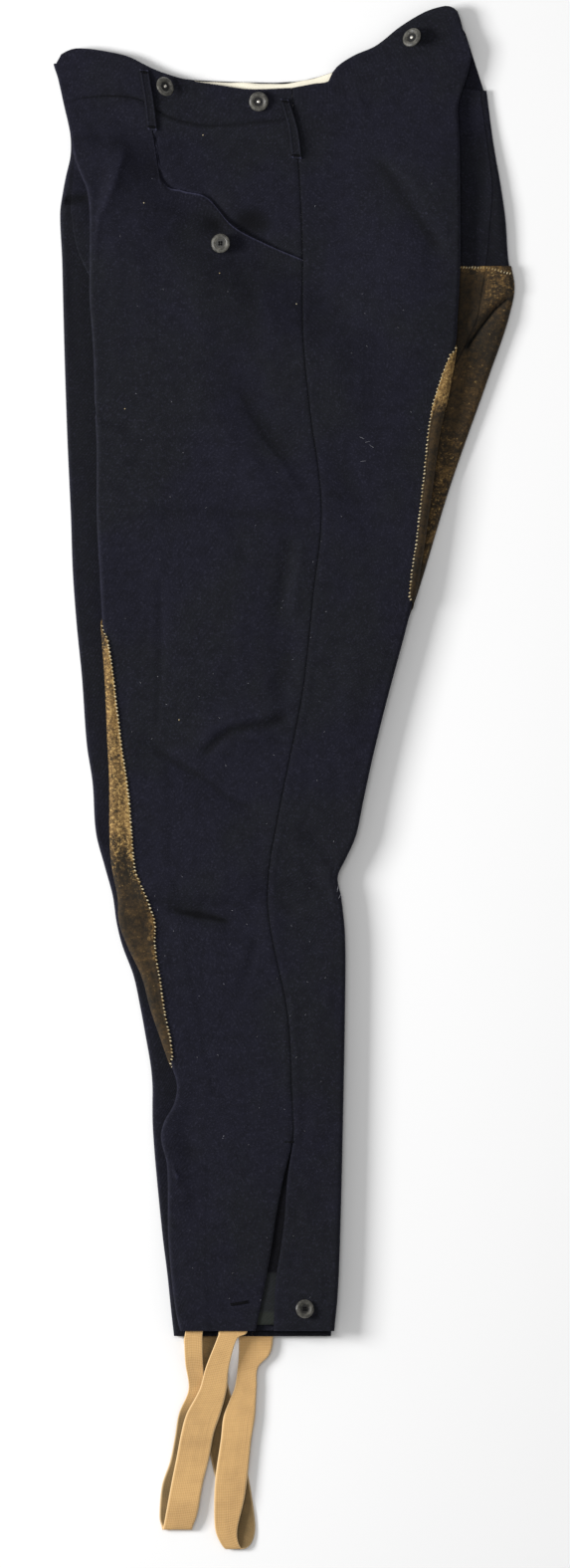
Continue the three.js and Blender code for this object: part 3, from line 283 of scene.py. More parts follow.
FOLDS = (
    Fold(54, 124, 31, 190, 12, 2.4), Fold(62, 108, 112, 186, 20, -2),
    Fold(52, 205, 118, 224, 18, 2.2), Fold(268, 134, 322, 206, 14, -2.4),
    Fold(150, 296, 204, 380, 17, -2.4), Fold(128, 330, 178, 404, 16, 2),
    Fold(216, 340, 262, 424, 17, -2), Fold(150, 420, 216, 426, 13, -2.2),
    Fold(186, 462, 192, 580, 13, -1.8), Fold(190, 582, 134, 604, 15, 2.6),
    Fold(84, 612, 160, 660, 15, -2.2), Fold(84, 728, 156, 724, 14, 2.8),
    Fold(84, 748, 158, 750, 13, -3), Fold(198, 738, 230, 718, 13, -2),
    Fold(104, 912, 118, 985, 13, -2),
)
CREASES = (
    Crease(((60, 114), (50, 144), (41, 166), (33.6, 187), (31, 216)), 3.8, 1.5),
    Crease(((42, 126), (40, 146), (36, 166)), 6, -1.6),
    Crease(((76, 120), (84, 138), (92, 152)), 11, -2.2),
    Crease(((68, 158), (92, 168), (116, 178)), 6, 1.3),
    Crease(((116, 172), (130, 179), (146, 187)), 8, -2.4),
    Crease(((88, 136), (102, 147), (126, 154)), 4, 1.2),
    Crease(((150, 204), (162, 240), (164, 300)), 9, -1.4),
    Crease(((104, 214), (124, 250), (128, 300)), 10, 1.1),
    Crease(((66, 190), (78, 204), (84, 224)), 7, -1),
    Crease(((262, 120), (282, 148), (300, 176), (322, 206)), 5.4, -2.8),
    Crease(((282, 128), (304, 158), (324, 196)), 6, 0.8),
    Crease(((35, 344), (52, 346), (72, 350)), 3.6, -1.7),
    Crease(((36, 352), (54, 355), (74, 360)), 5, 0.9),
    Crease(((79, 358), (70, 372), (62, 385)), 4.5, -1.2),
    Crease(((150, 300), (166, 338), (177, 355), (204, 380)), 9, -2.1),
    Crease(((146, 310), (162, 344), (174, 362), (186, 377), (204, 406)), 5, 1.6),
    Crease(((210, 330), (232, 364), (256, 402)), 7, 1),
    Crease(((222, 350), (242, 388), (262, 430)), 9, -1.5),
    Crease(((76, 418), (120, 417), (170, 419), (220, 426)), 5.5, -1.7),
    Crease(((120, 428), (176, 430), (214, 437)), 6, 1.1),
    Crease(((150, 438), (156, 452), (162, 468)), 7, -1.5),
    Crease(((197, 428), (191, 470), (184, 514)), 5, -1.5),
    Crease(((204, 440), (200, 474), (194, 508)), 5, 1.3),
    Crease(((184, 446), (180, 476), (176, 500)), 5, 0.9),
    Crease(((198, 520), (190, 546), (183, 578)), 6, -1.8),
    Crease(((88, 470), (88, 540), (86, 600)), 4, -0.8),
    Crease(((198, 584), (176, 592), (160, 593.6), (147, 597), (136, 604), (120, 620)), 3.9, -3.2),
    Crease(((196, 574), (168, 583), (146, 588), (130, 597), (116, 612)), 6.5, 1.5),
    Crease(((184, 601), (166, 602), (150, 606)), 4, 1.3),
    Crease(((81, 604), (86, 613), (97, 621), (124, 636), (146, 655), (167, 662)), 3.4, -2.3),
    Crease(((94, 604), (108, 618), (136, 634)), 6, 1.2),
    Crease(((76, 735), (96, 739), (117, 741), (152, 739)), 2.6, -1.3),
    Crease(((92, 743), (106, 746), (120, 748.6), (134, 751.5), (150, 756)), 3.2, -4),
    Crease(((104, 745), (120, 749), (138, 752.5)), 6, -1.4),
    Crease(((88, 752), (118, 760), (154, 766)), 6, 1.3),
    Crease(((92, 748), (90, 762), (94, 778)), 7, -1.1),
    Crease(((168, 756), (163, 790), (149, 820)), 4, -1),
    Crease(((212, 694), (226, 714), (237, 746)), 5, 1.1),
    Crease(((206, 720), (222, 730), (234, 728)), 3.4, -1.8),
    Crease(((200, 668), (218, 690), (232, 708)), 7, -1.3),
    Crease(((87, 926), (90, 944), (96, 956), (105, 969)), 2.6, 2.4),
    Crease(((106, 928), (110, 942), (120, 956)), 8, -1.9),
    Crease(((120, 930), (126, 960), (128, 1000)), 12, -1.1),
    Crease(((193, 991), (200, 993), (207, 997)), 3, -1.2),
    Crease(((192, 1032), (197, 1036), (200, 1042)), 3, -1),
    Crease(((238, 44), (248, 66), (256, 92)), 3.4, 0.5),
    Crease(((244, 60), (256, 84), (264, 112)), 3.4, 0.45),
    Crease(((214, 960), (222, 984), (214, 1012)), 8, -1),
    Crease(((258, 500), (246, 560), (232, 620)), 12, 1.1),
    Crease(((60, 430), (72, 500), (80, 570)), 14, -0.9),
    Crease(((276, 250), (262, 320), (262, 380)), 15, -1.1),
    Crease(((236, 250), (232, 300), (224, 330)), 11, 1),
    Crease(((90, 60), (110, 78), (134, 84)), 8, -0.7),
    Crease(((28, 72), (44, 71), (62, 74)), 3, 0.8),
    Crease(((22, 84), (40, 82), (62, 88)), 5, -0.8),
    Crease(((30, 92), (36, 108), (34, 124)), 7, -1),
    Crease(((216, 84), (214, 110), (208, 140)), 6, -0.8),
)
STRIP_CREASES = (
    Crease(((-4, 166), (10, 160.5), (34, 156.5)), 3, -3.4),
    Crease(((-4, 174), (12, 168), (34, 165)), 5, 2.4),
    Crease(((-2, 152), (12, 149), (32, 147)), 4.6, 1.4),
    Crease(((4, 184), (18, 178), (32, 176)), 6, 1),
    Crease(((12, 210), (20, 330), (22, 430)), 5, -0.7),
    Crease(((36, 664), (42, 684), (49, 700)), 3.4, -1.2),
    Crease(((38, 684), (44, 694), (52, 704)), 3, 1),
    Crease(((18, 520), (30, 560), (34, 600)), 4, -0.6),
    Crease(((379, 237), (364, 249.5), (352, 265), (338, 285)), 2.3, -3.4),
    Crease(((378, 229), (360, 243), (346, 258), (330, 280)), 4.4, 1.8),
    Crease(((382, 250), (366, 262), (352, 282)), 5, 1.2),
    Crease(((352, 90), (354, 130), (350, 176)), 6, -0.9),
    Crease(((366, 150), (368, 190), (366, 208)), 5, 0.8),
    Crease(((344, 218), (350, 226), (362, 232)), 5, -0.8),
    Crease(((330, 300), (334, 330), (326, 360)), 6, -0.8),
    Crease(((316, 392), (314, 420), (308, 446)), 5, 0.7),
)


def relief(across: Array, down: Array) -> tuple[Array, Array, Array]:
    """Height of all creases of the top sheet, their ridges for painted highlight and wear, and how
    deep they sink for painted shade.
    """
    parts = [crease.raise_at(across, down) for crease in CREASES]
    ridges = sum(np.maximum(p, 0) / c.width for p, c in zip(parts, CREASES))
    hollows = sum(np.maximum(-p, 0) for p in parts)
    return sum(parts), ridges, hollows


def strip_relief(across: Array, down: Array) -> tuple[Array, Array]:
    """Height of all creases of the strips that show beside the top leg, and how deep they sink."""
    parts = [crease.raise_at(across, down) for crease in STRIP_CREASES]
    return sum(parts), sum(np.maximum(-p, 0) for p in parts)


def ripple(across: Array, down: Array) -> Array:
    """Sum of eight slow waves with fixed ways and lengths: the cloth's own unevenness."""
    height = np.zeros(across.shape)
    rng = np.random.default_rng(7)
    for length in (14, 19, 27, 36, 48, 63, 82, 110):
        angle, phase = rng.uniform(0, math.pi), rng.uniform(0, 2 * math.pi)
        turn = rng.uniform(0.8, 1.3) * 2 * math.pi / length
        bend = np.sin(down / (2.3 * length) + phase) * 0.9
        along = across * math.cos(angle) + down * math.sin(angle)
        height += 0.0022 * length * np.sin(turn * along + phase + bend)
    return height


@dataclass(frozen=True)
class Pile:
    """The garment's sections as it lies: walks along the cloth from the floor to the top.

    A place on a panel is given by down and by a lane. On the near leg lane 0 to 1 runs from the
    hidden seam, 1 to 2 turns, 2 to 3 runs out under the top sheet, 3 to 4 is the fold, 4 to 5 the
    strip beside it that leather may cover and 5 to 6 the rest, to the side seam. On the far leg
    lane 0 to 1 is the floor, 1 to 2 the fold and 2 to 3 the run back in.
    """

    leg_fold: float = 3.5
    leg_turn: float = 2.2
    waist_fold: float = 2.2
    waist_turn: float = 1.7
    waist_end: float = 70
    pelvis_start: float = 150
    least_run: float = 0.8
    middle_height: float = 7.2
    sag_side: float = 4
    sag_slope: float = 96
    fold_margin: float = 22
    deepest: float = 3.2

    @staticmethod
    def folds(side: Side) -> Table:
        """The fold table of one edge."""
        return FRONT_FOLDS if side is Side.FRONT else BACK_FOLDS

    @staticmethod
    def walk(start: tuple[Array, Array, Array], runs: list[tuple[Array, Array]],
             lane: Array) -> tuple[Array, Array, Array]:
        """Place after a number of runs, each a length and a turn, walked one after another.

        The chord of the share walked of a run is its length times the sinc of half its turn.

        Args:
            start: distance out, height and heading where the walk begins.
            runs: length and turn of each run.
            lane: number of runs walked, with a fraction.

        Returns:
            Distance out, height and heading at that place.
        """
        out, up, heading = start
        for number, (length, turn) in enumerate(runs):
            share = np.clip(lane - number, 0, 1)
            half = turn * share / 2
            chord = length * share * np.sinc(half / np.pi)
            out = out + chord * np.cos(heading + half)
            up = up + chord * np.sin(heading + half)
            heading = heading + turn * share
        return out, up, heading

    def sizes(self, side: Side, down: Array) -> dict[str, Array]:
        """Fold and turn radii, how far the hidden tuck has formed, and the far run's reach."""
        pelvis = down < CROTCH
        table, sign = self.folds(side), -side.value
        depth = smooth((down - self.waist_end) / (self.pelvis_start - self.waist_end))
        fold = lerp(self.waist_fold, self.leg_fold, depth)
        formed = np.where(pelvis, np.clip(table.read("formed", down), 0, 1), 1.0)
        inside = sign * SEAM_LINES.read("inside", down)
        seam = np.where(pelvis, sign * table.read("seam", down), inside)
        turn = np.pi / 2 * (1 + formed)
        far = sign * table.read("far", down)
        start = (far - fold, np.zeros_like(down), np.zeros_like(down))
        fold_out = self.walk(start, [(fold * turn, turn)], np.ones_like(down))[0]
        length = np.where(pelvis, lerp(self.least_run, fold_out - seam, formed), fold_out - seam)
        gap = SEAM_GAP * (1 + 6 * formed * (1 - formed))
        return {
            "pelvis": pelvis, "fold": fold, "formed": formed, "seam": seam, "turn": turn,
            "bend": lerp(self.waist_turn, self.leg_turn, depth), "gap": gap, "far": far,
            "reach": np.maximum(self.least_run, length) - gap / 2, "inside": inside,
            "tuck": sign * table.read("tuck", down), "near": sign * table.read("near", down),
        }

    def far_place(self, side: Side, down: Array, lane: Array) -> tuple[Array, Array]:
        """Across and up of the far leg's panel at a lane."""
        s = self.sizes(side, down)
        sign = -side.value
        middle = (SEAM_LINES.read("front", down) + SEAM_LINES.read("back", down)) / 2
        first = sign * middle + SEAM_GAP / 2
        start = (first, np.zeros_like(down), np.zeros_like(down))
        runs = [(s["far"] - s["fold"] - first, np.zeros_like(down)),
                (s["fold"] * s["turn"], s["turn"]), (s["reach"], np.zeros_like(down))]
        out, up, _ = self.walk(start, runs, lane)
        across = sign * out
        return across, up + strip_relief(across, down)[0] * smooth(lane - 1.3)

    def near_section(self, side: Side, down: Array, lane: Array) -> tuple[Array, Array, Array]:
        """Across and up of the near leg's panel up to the end of its fold, and the fold's reach."""
        s = self.sizes(side, down)
        zero, sign = np.zeros_like(down), -side.value
        far_start = (s["far"] - s["fold"], zero, zero)
        far_runs = [(s["fold"] * s["turn"], s["turn"]), (s["reach"] + s["gap"], zero)]
        out, up, heading = self.walk(far_start, far_runs, np.full_like(down, 2.0))
        level = 2 * s["fold"] + 2 * s["bend"]
        begin = s["inside"] + SEAM_GAP / 2
        start = (np.where(s["pelvis"], out, begin), np.where(s["pelvis"], up, level),
                 np.where(s["pelvis"], heading, 0.0))
        least, formed, arc = self.least_run, s["formed"], s["bend"] * np.pi
        seam_run = lerp(least, np.maximum(least, s["seam"] - s["tuck"]), formed) - s["gap"] / 2
        tuck_run = lerp(least, np.maximum(least, s["near"] - s["fold"] - s["tuck"]), formed)
        leg_run = s["near"] - s["fold"] - begin - least - arc
        pelvis = s["pelvis"]
        runs = [
            (np.where(pelvis, seam_run, least), zero),
            (np.where(pelvis, np.maximum(least, arc * formed), arc),
             np.where(pelvis, -np.pi * formed, 0.0)),
            (np.where(pelvis, tuck_run, leg_run), zero),
            (s["fold"] * s["turn"], s["turn"]),
        ]
        reach = np.max([self.walk(start, runs, np.full_like(down, 3 + k / 10))[0]
                        for k in range(11)], axis=0)
        high = self.walk(start, runs, np.full_like(down, 4.0))[1]
        out, up, _ = self.walk(start, runs, lane)
        rise = np.clip((up - start[1]) / (high - start[1]), 0, 1)
        lean = np.where(pelvis, (s["near"] - reach) * rise, 0.0)
        return sign * (out + lean), up, sign * s["tuck"]

    def top_height(self, across: Array, down: Array) -> Array:
        """Height of the top sheet: its two folds joined, sagging over the hollow pelvis.

        Troughs approach the deepest one by their hyperbolic tangent, clear of the sheet below.
        """
        four = np.full_like(down, 4.0)
        start, low, front_tuck = self.near_section(Side.FRONT, down, four)
        end, high, back_tuck = self.near_section(Side.BACK, down, four)
        edge = lerp(low, high, np.clip((across - start) / (end - start), 0, 1))
        from_front = smooth((across - front_tuck - self.sag_side) / self.sag_slope)
        from_back = smooth((back_tuck - self.sag_side - across) / self.sag_slope)
        hollow = np.where(down < CROTCH, from_front * from_back, 0.0)
        away = np.minimum(across - start, end - across)
        folds = sum(f.raise_at(across, down) for f in FOLDS)
        fine = relief(across, down)[0] * smooth(away / 4) + ripple(across, down) * smooth(away / 12)
        moved = folds * smooth(away / self.fold_margin) + fine
        sunk = self.deepest * np.tanh(np.minimum(moved, 0) / self.deepest)
        return edge - (edge - self.middle_height) * hollow + np.maximum(moved, 0) + sunk

    def near_place(self, side: Side, down: Array, lane: Array) -> tuple[Array, Array]:
        """Across and up of the near leg's panel at a lane, the hidden layers and the top sheet."""
        across, up, _ = self.near_section(side, down, np.minimum(lane, 4.0))
        up = up + strip_relief(across, down)[0] * (1 - smooth(lane - 1))
        start = self.near_section(side, down, np.full_like(down, 4.0))[0]
        sign = side.value
        column = "front" if side is Side.FRONT else "back"
        seam = SEAM_LINES.read(column, down) - sign * SEAM_GAP / 2
        fold = self.folds(side).read("near", down)
        strip_width = np.maximum(1.6, STRAP_EDGES.read(column, down) - np.abs(start - fold))
        first = start + sign * strip_width
        top = np.where(lane < 5, lerp(start, first, np.clip(lane - 4, 0, 1)),
                       lerp(first, seam, np.clip(lane - 5, 0, 1)))
        across = np.where(lane > 4, top, across)
        return across, np.where(lane > 4, self.top_height(top, down), up)


PILE = Pile()


def link(name: str, data: bpy.types.ID) -> bpy.types.Object:
    """New object with its data, linked to the scene."""
    made = bpy.data.objects.new(name, data)
    bpy.context.scene.collection.objects.link(made)
    return made


def finished(mesh: bpy.types.Mesh, finish: bpy.types.Material,
             masks: dict[str, Array]) -> bpy.types.Object:
    """Object of the mesh's name, with its material and a value at each point by mask."""
    for title, values in masks.items():
        attribute = mesh.attributes.new(title, "FLOAT", "POINT")
        attribute.data.foreach_set("value", values.astype(np.float32).ravel())
    mesh.shade_smooth()
    mesh.materials.append(finish)
    return link(mesh.name, mesh)


@dataclass
class Surface:
    """A grid of points on the outer face of one piece, in millimetres, rows by columns by 3."""

    points: Array
    outward: int
    mask: dict[str, Array] = field(default_factory=dict)

    @classmethod
    def laid(cls, across: Array, down: Array, up: Array, outward: int = 1) -> "Surface":
        """Surface from places across, down and up, turned into the frame's axes."""
        return cls(at(across, down, up), outward)

    def normals(self) -> Array:
        """Unit vectors square to the grid, from its directions along columns and rows."""
        along = np.gradient(self.points, axis=1)
        down = np.gradient(self.points, axis=0)
        normal = np.cross(down, along) * self.outward
        return normal / np.maximum(np.linalg.norm(normal, axis=-1, keepdims=True), 1e-9)

    def moved(self, distance: float) -> "Surface":
        """The same surface moved out along its normals."""
        return Surface(self.points + self.normals() * distance, self.outward, dict(self.mask))

    def lengths(self) -> tuple[Array, Array]:
        """Running lengths along the rows and along the columns."""
        steps = [np.linalg.norm(np.diff(self.points, axis=axis), axis=-1) for axis in (1, 0)]
        across = np.pad(np.cumsum(steps[0], axis=1), ((0, 0), (1, 0)))
        down = np.pad(np.cumsum(steps[1], axis=0), ((1, 0), (0, 0)))
        return across, down

    def cut(self) -> tuple[tuple[float, float], float]:
        """Width, length and area that the piece was cut to, in metres, from its smooth form."""
        across, down = self.lengths()
        sides = np.diff(self.points, axis=1)[:-1], np.diff(self.points, axis=0)[:, :-1]
        area = np.linalg.norm(np.cross(*sides), axis=-1).sum() * MILLIMETRE**2
        width, length = across[:, -1].max() * MILLIMETRE, np.median(down[-1]) * MILLIMETRE
        return (float(width), float(length)), float(area)

    def build(self, name: str, finish: bpy.types.Material, thickness: float) -> bpy.types.Object:
        """Makes the mesh, with a wall under the outer face and the cloth's own lengths as its UV.

        Args:
            name: name of the piece.
            finish: its material.
            thickness: thickness of the wall in millimetres.

        Returns:
            The finished object, at the origin.
        """
        rows, columns, _ = self.points.shape
        index = np.arange(rows * columns).reshape(rows, columns)
        corners = [index[:-1, :-1], index[1:, :-1], index[1:, 1:], index[:-1, 1:]]
        if self.outward < 0:
            corners.reverse()
        faces = np.stack([c.ravel() for c in corners], axis=1)
        mesh = bpy.data.meshes.new(name)
        mesh.from_pydata(self.points.reshape(-1, 3) * MILLIMETRE, [], faces.tolist())
        across, down = self.lengths()
        lengths = np.stack([across, down], axis=-1).reshape(-1, 2) * MILLIMETRE
        layer = mesh.uv_layers.new(name="cloth")
        layer.data.foreach_set("uv", lengths[faces.ravel()].astype(np.float32).ravel())
        piece = finished(mesh, finish, self.mask)
        wall = piece.modifiers.new("wall", "SOLIDIFY")
        wall.thickness = thickness * MILLIMETRE
        wall.offset = -1
        wall.use_rim = True
        return piece


def closed(name: str, points: Array, faces: list, finish: bpy.types.Material,
           masks: dict[str, Array] | None = None) -> bpy.types.Object:
    """Object from points in millimetres and faces that are already closed and point outwards.

    Args:
        name: name of the object.
        points: places, in any number of axes before the last.
        faces: corner numbers of each face.
        finish: material.
        masks: a value at each point, by the name that its material reads.

    Returns:
        The object, at the origin.
    """
    mesh = bpy.data.meshes.new(name)
    mesh.from_pydata(points.reshape(-1, 3) * MILLIMETRE, [], faces)
    return finished(mesh, finish, masks or {})


class Value:
    """A node socket with Python's operators, each of which adds a Math node."""

    def __init__(self, nodes: "Nodes", socket: bpy.types.NodeSocket) -> None:
        """Wraps one output socket of a material's nodes."""
        self.nodes, self.socket = nodes, socket

    def _math(self, operation: str, first: object, second: object) -> "Value":
        """Result of a Math node on two values."""
        return self.nodes.add("ShaderNodeMath", {"operation": operation}, {0: first, 1: second})

    def __add__(self, other: object) -> "Value":
        """Sum."""
        return self._math("ADD", self, other)

    def __mul__(self, other: object) -> "Value":
        """Product."""
        return self._math("MULTIPLY", self, other)

    def __rsub__(self, other: object) -> "Value":
        """A number less this value."""
        return self._math("SUBTRACT", other, self)

    __radd__ = __add__
    __rmul__ = __mul__


class Nodes:
    """Builder of one material's nodes."""

    def __init__(self, name: str) -> None:
        """Starts a material with a Principled shader."""
        self.material = bpy.data.materials.new(name)
        self.material.use_nodes = True
        self.tree = self.material.node_tree
        self.shader = self.tree.nodes["Principled BSDF"]

    def add(self, kind: str, settings: dict, inputs: dict, output: object = 0) -> Value:
        """Adds a node: its settings first, then the values or links of its sockets.

        Args:
            kind: the node's type name.
            settings: properties by name.
            inputs: values, Values or colours by socket name or number.
            output: name or number of the output to wrap.

        Returns:
            The output socket, wrapped.
        """
        node = self.tree.nodes.new(kind)
        for key, value in settings.items():
            setattr(node, key, value)
        for key, value in inputs.items():
            self.feed(node.inputs[key], value)
        return Value(self, node.outputs[output])

    def feed(self, socket: bpy.types.NodeSocket, value: object) -> None:
        """Links a Value to a socket, or sets the socket's own value."""
        if isinstance(value, Value):
            self.tree.links.new(value.socket, socket)
        else:
            socket.default_value = value

    def place(self) -> Value:
        """Object coordinates, in metres in the frame's axes."""
        return self.add("ShaderNodeTexCoord", {}, {}, "Object")

    def cloth(self) -> Value:
        """The piece's own lengths along its rows and columns."""
        return self.add("ShaderNodeUVMap", {"uv_map": "cloth"}, {})

    def mask(self, name: str) -> Value:
        """A number kept at each point of the mesh."""
        return self.add("ShaderNodeAttribute", {"attribute_name": name}, {}, "Fac")

    def scaled(self, vector: Value, scale: tuple[float, float, float]) -> Value:
        """A vector multiplied axis by axis."""
        return self.add("ShaderNodeVectorMath", {"operation": "MULTIPLY"}, {0: vector, 1: scale})

    def noise(self, vector: Value, scale: float, detail: float = 3, rough: float = 0.5) -> Value:
        """Noise from 0 to 1 over a vector."""
        return self.add("ShaderNodeTexNoise", {}, {
            "Vector": vector, "Scale": scale, "Detail": detail, "Roughness": rough})

    def step(self, value: Value, low: float, high: float) -> Value:
        """Smooth step of a value between two limits."""
        return self.add("ShaderNodeMapRange", {"interpolation_type": "SMOOTHSTEP"}, {
            "Value": value, "From Min": low, "From Max": high})

    def mix(self, part: object, first: object, second: object) -> Value:
        """Blend of two colours."""
        return self.add("ShaderNodeMix", {"data_type": "RGBA"}, {0: part, 6: first, 7: second}, 2)

    def bump(self, height: Value, strength: float, distance: float) -> Value:
        """Normal tilted by a height, the distance in millimetres."""
        return self.add("ShaderNodeBump", {}, {
            "Height": height, "Strength": strength, "Distance": distance * MILLIMETRE})

    def finish(self, **sockets: object) -> bpy.types.Material:
        """Feeds the shader's sockets, their names written with underscores, and closes."""
        for key, value in sockets.items():
            self.feed(self.shader.inputs[key.replace("_", " ")], value)
        return self.material


def tone(red: float, green: float, blue: float) -> tuple[float, float, float, float]:
    """Linear colour from the 0 to 255 tones that a screen shows."""
    values = np.array([red, green, blue]) / 255
    linear = np.where(values <= 0.04045, values / 12.92, ((values + 0.055) / 1.055) ** 2.4)
    return (*(float(v) for v in linear), 1.0)


@dataclass(frozen=True)
class Wool:
    """Dense milled wool twill: a fine diagonal under a matted nap, lighter at its folds with wear and
    painted highlight.
    """

    name: str = "navy_wool"
    base: tuple = (24, 24, 34)
    grey: tuple = (24, 25, 30)
    # Colour of fold edges and ridges: wear and painted highlight.
    rubbed_and_lit: tuple = (62, 62, 82)

    def build(self) -> bpy.types.Material:
        """Makes the material."""
        n = Nodes(self.name)
        place, cloth = n.place(), n.cloth()
        # The hollow mask is painted shade: it greys the patches a little, mixes in near black and
        # thins the pale nap specks.
        hollow = n.mask("hollow")
        patches = n.step(n.noise(place, 9, 3, 0.6) + hollow * 0.1, 0.42, 0.6)
        nap = n.noise(place, 620, 3, 0.65)
        felt = n.noise(place, 110, 4, 0.65)
        base = n.mix(patches, tone(*self.base), tone(*self.grey))
        # Painted shade: near black mixed in by the hollow mask.
        sunk = n.mix(hollow * 0.6, base, tone(8, 8, 11))
        darker = n.mix(n.step(felt, 0.4, 0.66) * 0.5, sunk, tone(16, 16, 22))
        light = n.mix(n.step(nap, 0.5, 0.76) * (0.44 - hollow * 0.22), darker, tone(54, 54, 69))
        # Painted highlight and wear at fold edges and ridges, by the edge mask.
        edge = n.step(n.mask("edge") * (0.35 + n.noise(place, 260, 3) * 1.3), 0.15, 1.0)
        wear_and_painted_light = n.mix(edge * 0.7, light, tone(*self.rubbed_and_lit))
        patch = n.mix(n.mask("patch"), wear_and_painted_light, tone(42, 45, 41))
        twill = n.add("ShaderNodeTexWave", {"wave_type": "BANDS", "bands_direction": "DIAGONAL"}, {
            "Vector": n.scaled(cloth, (1, 1, 0)), "Scale": 190.0, "Distortion": 1.2, "Detail": 2.0,
            "Detail Scale": 1.5}, "Fac")
        height = twill * 0.35 + nap * 1.1 + felt * 0.9
        return n.finish(
            Base_Color=patch, Roughness=0.93, Specular_IOR_Level=0.12, Sheen_Weight=0.03,
            Sheen_Roughness=0.5, Sheen_Tint=tone(150, 150, 190), Normal=n.bump(height, 0.6, 0.4))


@dataclass(frozen=True)
class Suede:
    """Brown strapping leather, flesh side out: dark with grease, tan in specks from wear, painted
    shade in its creases and by the seam.
    """

    name: str = "suede_strapping"
    dark: tuple = (34, 29, 22)
    mid: tuple = (66, 51, 31)
    tan: tuple = (122, 94, 54)
    gold: tuple = (178, 148, 92)

    def build(self) -> bpy.types.Material:
        """Makes the material."""
        n = Nodes(self.name)
        # This mask carries wear and painted light: tan wear above 0 with a painted highlight at the
        # fold edge, painted shade below 0.
        place, rub = n.place(), n.mask("rub")
        large = n.noise(place, 24, 4, 0.65)
        small = n.noise(place, 150, 5, 0.72)
        fine = n.noise(place, 430, 4, 0.75)
        grain = n.noise(place, 760, 3, 0.65)
        body = n.mix(n.step(large * 0.5 + small * 0.5 + fine * 0.5, 0.62, 0.9), tone(*self.dark),
                     tone(*self.mid))
        wear_and_painted_light = n.step(rub + large * 0.8 + small * 1.0 + fine * 1.2, 1.62, 2.2)
        tanned = n.mix(wear_and_painted_light, body, tone(*self.tan))
        specks = n.step(rub * 0.8 + fine * 2.2 + grain * 1.2, 2.05, 2.5)
        gilded = n.mix(specks, tanned, tone(*self.gold))
        # Painted shade: near black where the mask is below 0.
        colour = n.mix(n.step(0.0 - rub, 0.25, 1.0), gilded, tone(13, 11, 8))
        height = small * 0.9 + grain * 0.9 + large * 0.5
        return n.finish(
            Base_Color=colour, Roughness=0.88 - wear_and_painted_light * 0.14, Specular_IOR_Level=0.22,
            Normal=n.bump(height, 0.7, 0.5))


@dataclass(frozen=True)
class Woven:
    """Plain woven cotton: ribs across and fine warp lines along the piece's own lengths."""

    name: str
    base: tuple
    shade: tuple
    light: tuple
    rib: float
    warp: float

    def build(self) -> bpy.types.Material:
        """Makes the material."""
        n = Nodes(self.name)
        place, cloth = n.place(), n.cloth()
        ribs = n.add("ShaderNodeTexWave", {"wave_type": "BANDS", "bands_direction": "Y"}, {
            "Vector": cloth, "Scale": self.rib, "Distortion": 0.6, "Detail": 2.0,
            "Detail Scale": 2.0}, "Fac")
        warps = n.add("ShaderNodeTexWave", {"wave_type": "BANDS", "bands_direction": "X"}, {
            "Vector": cloth, "Scale": self.warp, "Distortion": 0.4}, "Fac")
        streaks = n.noise(n.scaled(cloth, (600, 12, 1)), 1, 3, 0.6)
        bars = n.noise(n.scaled(cloth, (16, 420, 1)), 1, 3, 0.6)
        stain = n.noise(place, 34, 4, 0.6)
        base = n.mix(n.step(stain, 0.35, 0.75) * 0.55, tone(*self.base), tone(*self.shade))
        lined = n.mix(n.step(streaks, 0.45, 0.8) * 0.35, base, tone(*self.shade))
        barred = n.mix(n.step(bars, 0.5, 0.85) * 0.35, lined, tone(*self.shade))
        woven = n.mix(ribs * 0.16 + warps * 0.12, barred, tone(*self.light))
        # Painted shade and soil on a tape's inner face, by the inside mask.
        soiled_and_shaded = n.mix(n.mask("inside") * (0.55 + stain * 0.5), woven, tone(92, 78, 52))
        # Lighter where the edge mask is set: painted highlight along a tape's selvedges, and a paler
        # band along the facing's top edge.
        colour = n.mix(n.step(n.mask("edge"), 0.2, 1) * 0.7, soiled_and_shaded, tone(*self.light))
        height = ribs * 0.8 + warps * 0.5 + n.noise(place, 700, 3) * 0.5
        return n.finish(
            Base_Color=colour, Roughness=0.85, Specular_IOR_Level=0.2, Sheen_Weight=0.1,
            Sheen_Roughness=0.5, Normal=n.bump(height, 0.5, 0.28))


@dataclass(frozen=True)
class Horn:
    """Polished dark horn with faint cloudy streaks, its dish, holes and rim groove dark with painted
    shade.
    """

    name: str = "dark_horn"

    def build(self) -> bpy.types.Material:
        """Makes the material."""
        n = Nodes(self.name)
        place = n.place()
        clouds = n.noise(place, 320, 4, 0.65)
        scratches = n.noise(n.scaled(place, (500, 2600, 500)), 1, 2, 0.5)
        colour = n.mix(n.step(clouds, 0.35, 0.7), tone(56, 55, 51), tone(98, 96, 89))
        dusty = n.mix(n.step(scratches, 0.6, 0.8) * 0.25, colour, tone(112, 110, 102))
        # Painted shade: near black in the dish, the holes and the groove inside the rim.
        dish_shaded = n.mix(n.mask("grime"), dusty, tone(13, 13, 14))
        rough = 0.36 + n.step(scratches, 0.5, 0.8) * 0.15 + n.mask("grime") * 0.3
        return n.finish(
            Base_Color=dish_shaded, Roughness=rough, Specular_IOR_Level=0.4,
            Normal=n.bump(clouds * 0.4 + scratches * 0.4, 0.25, 0.06))


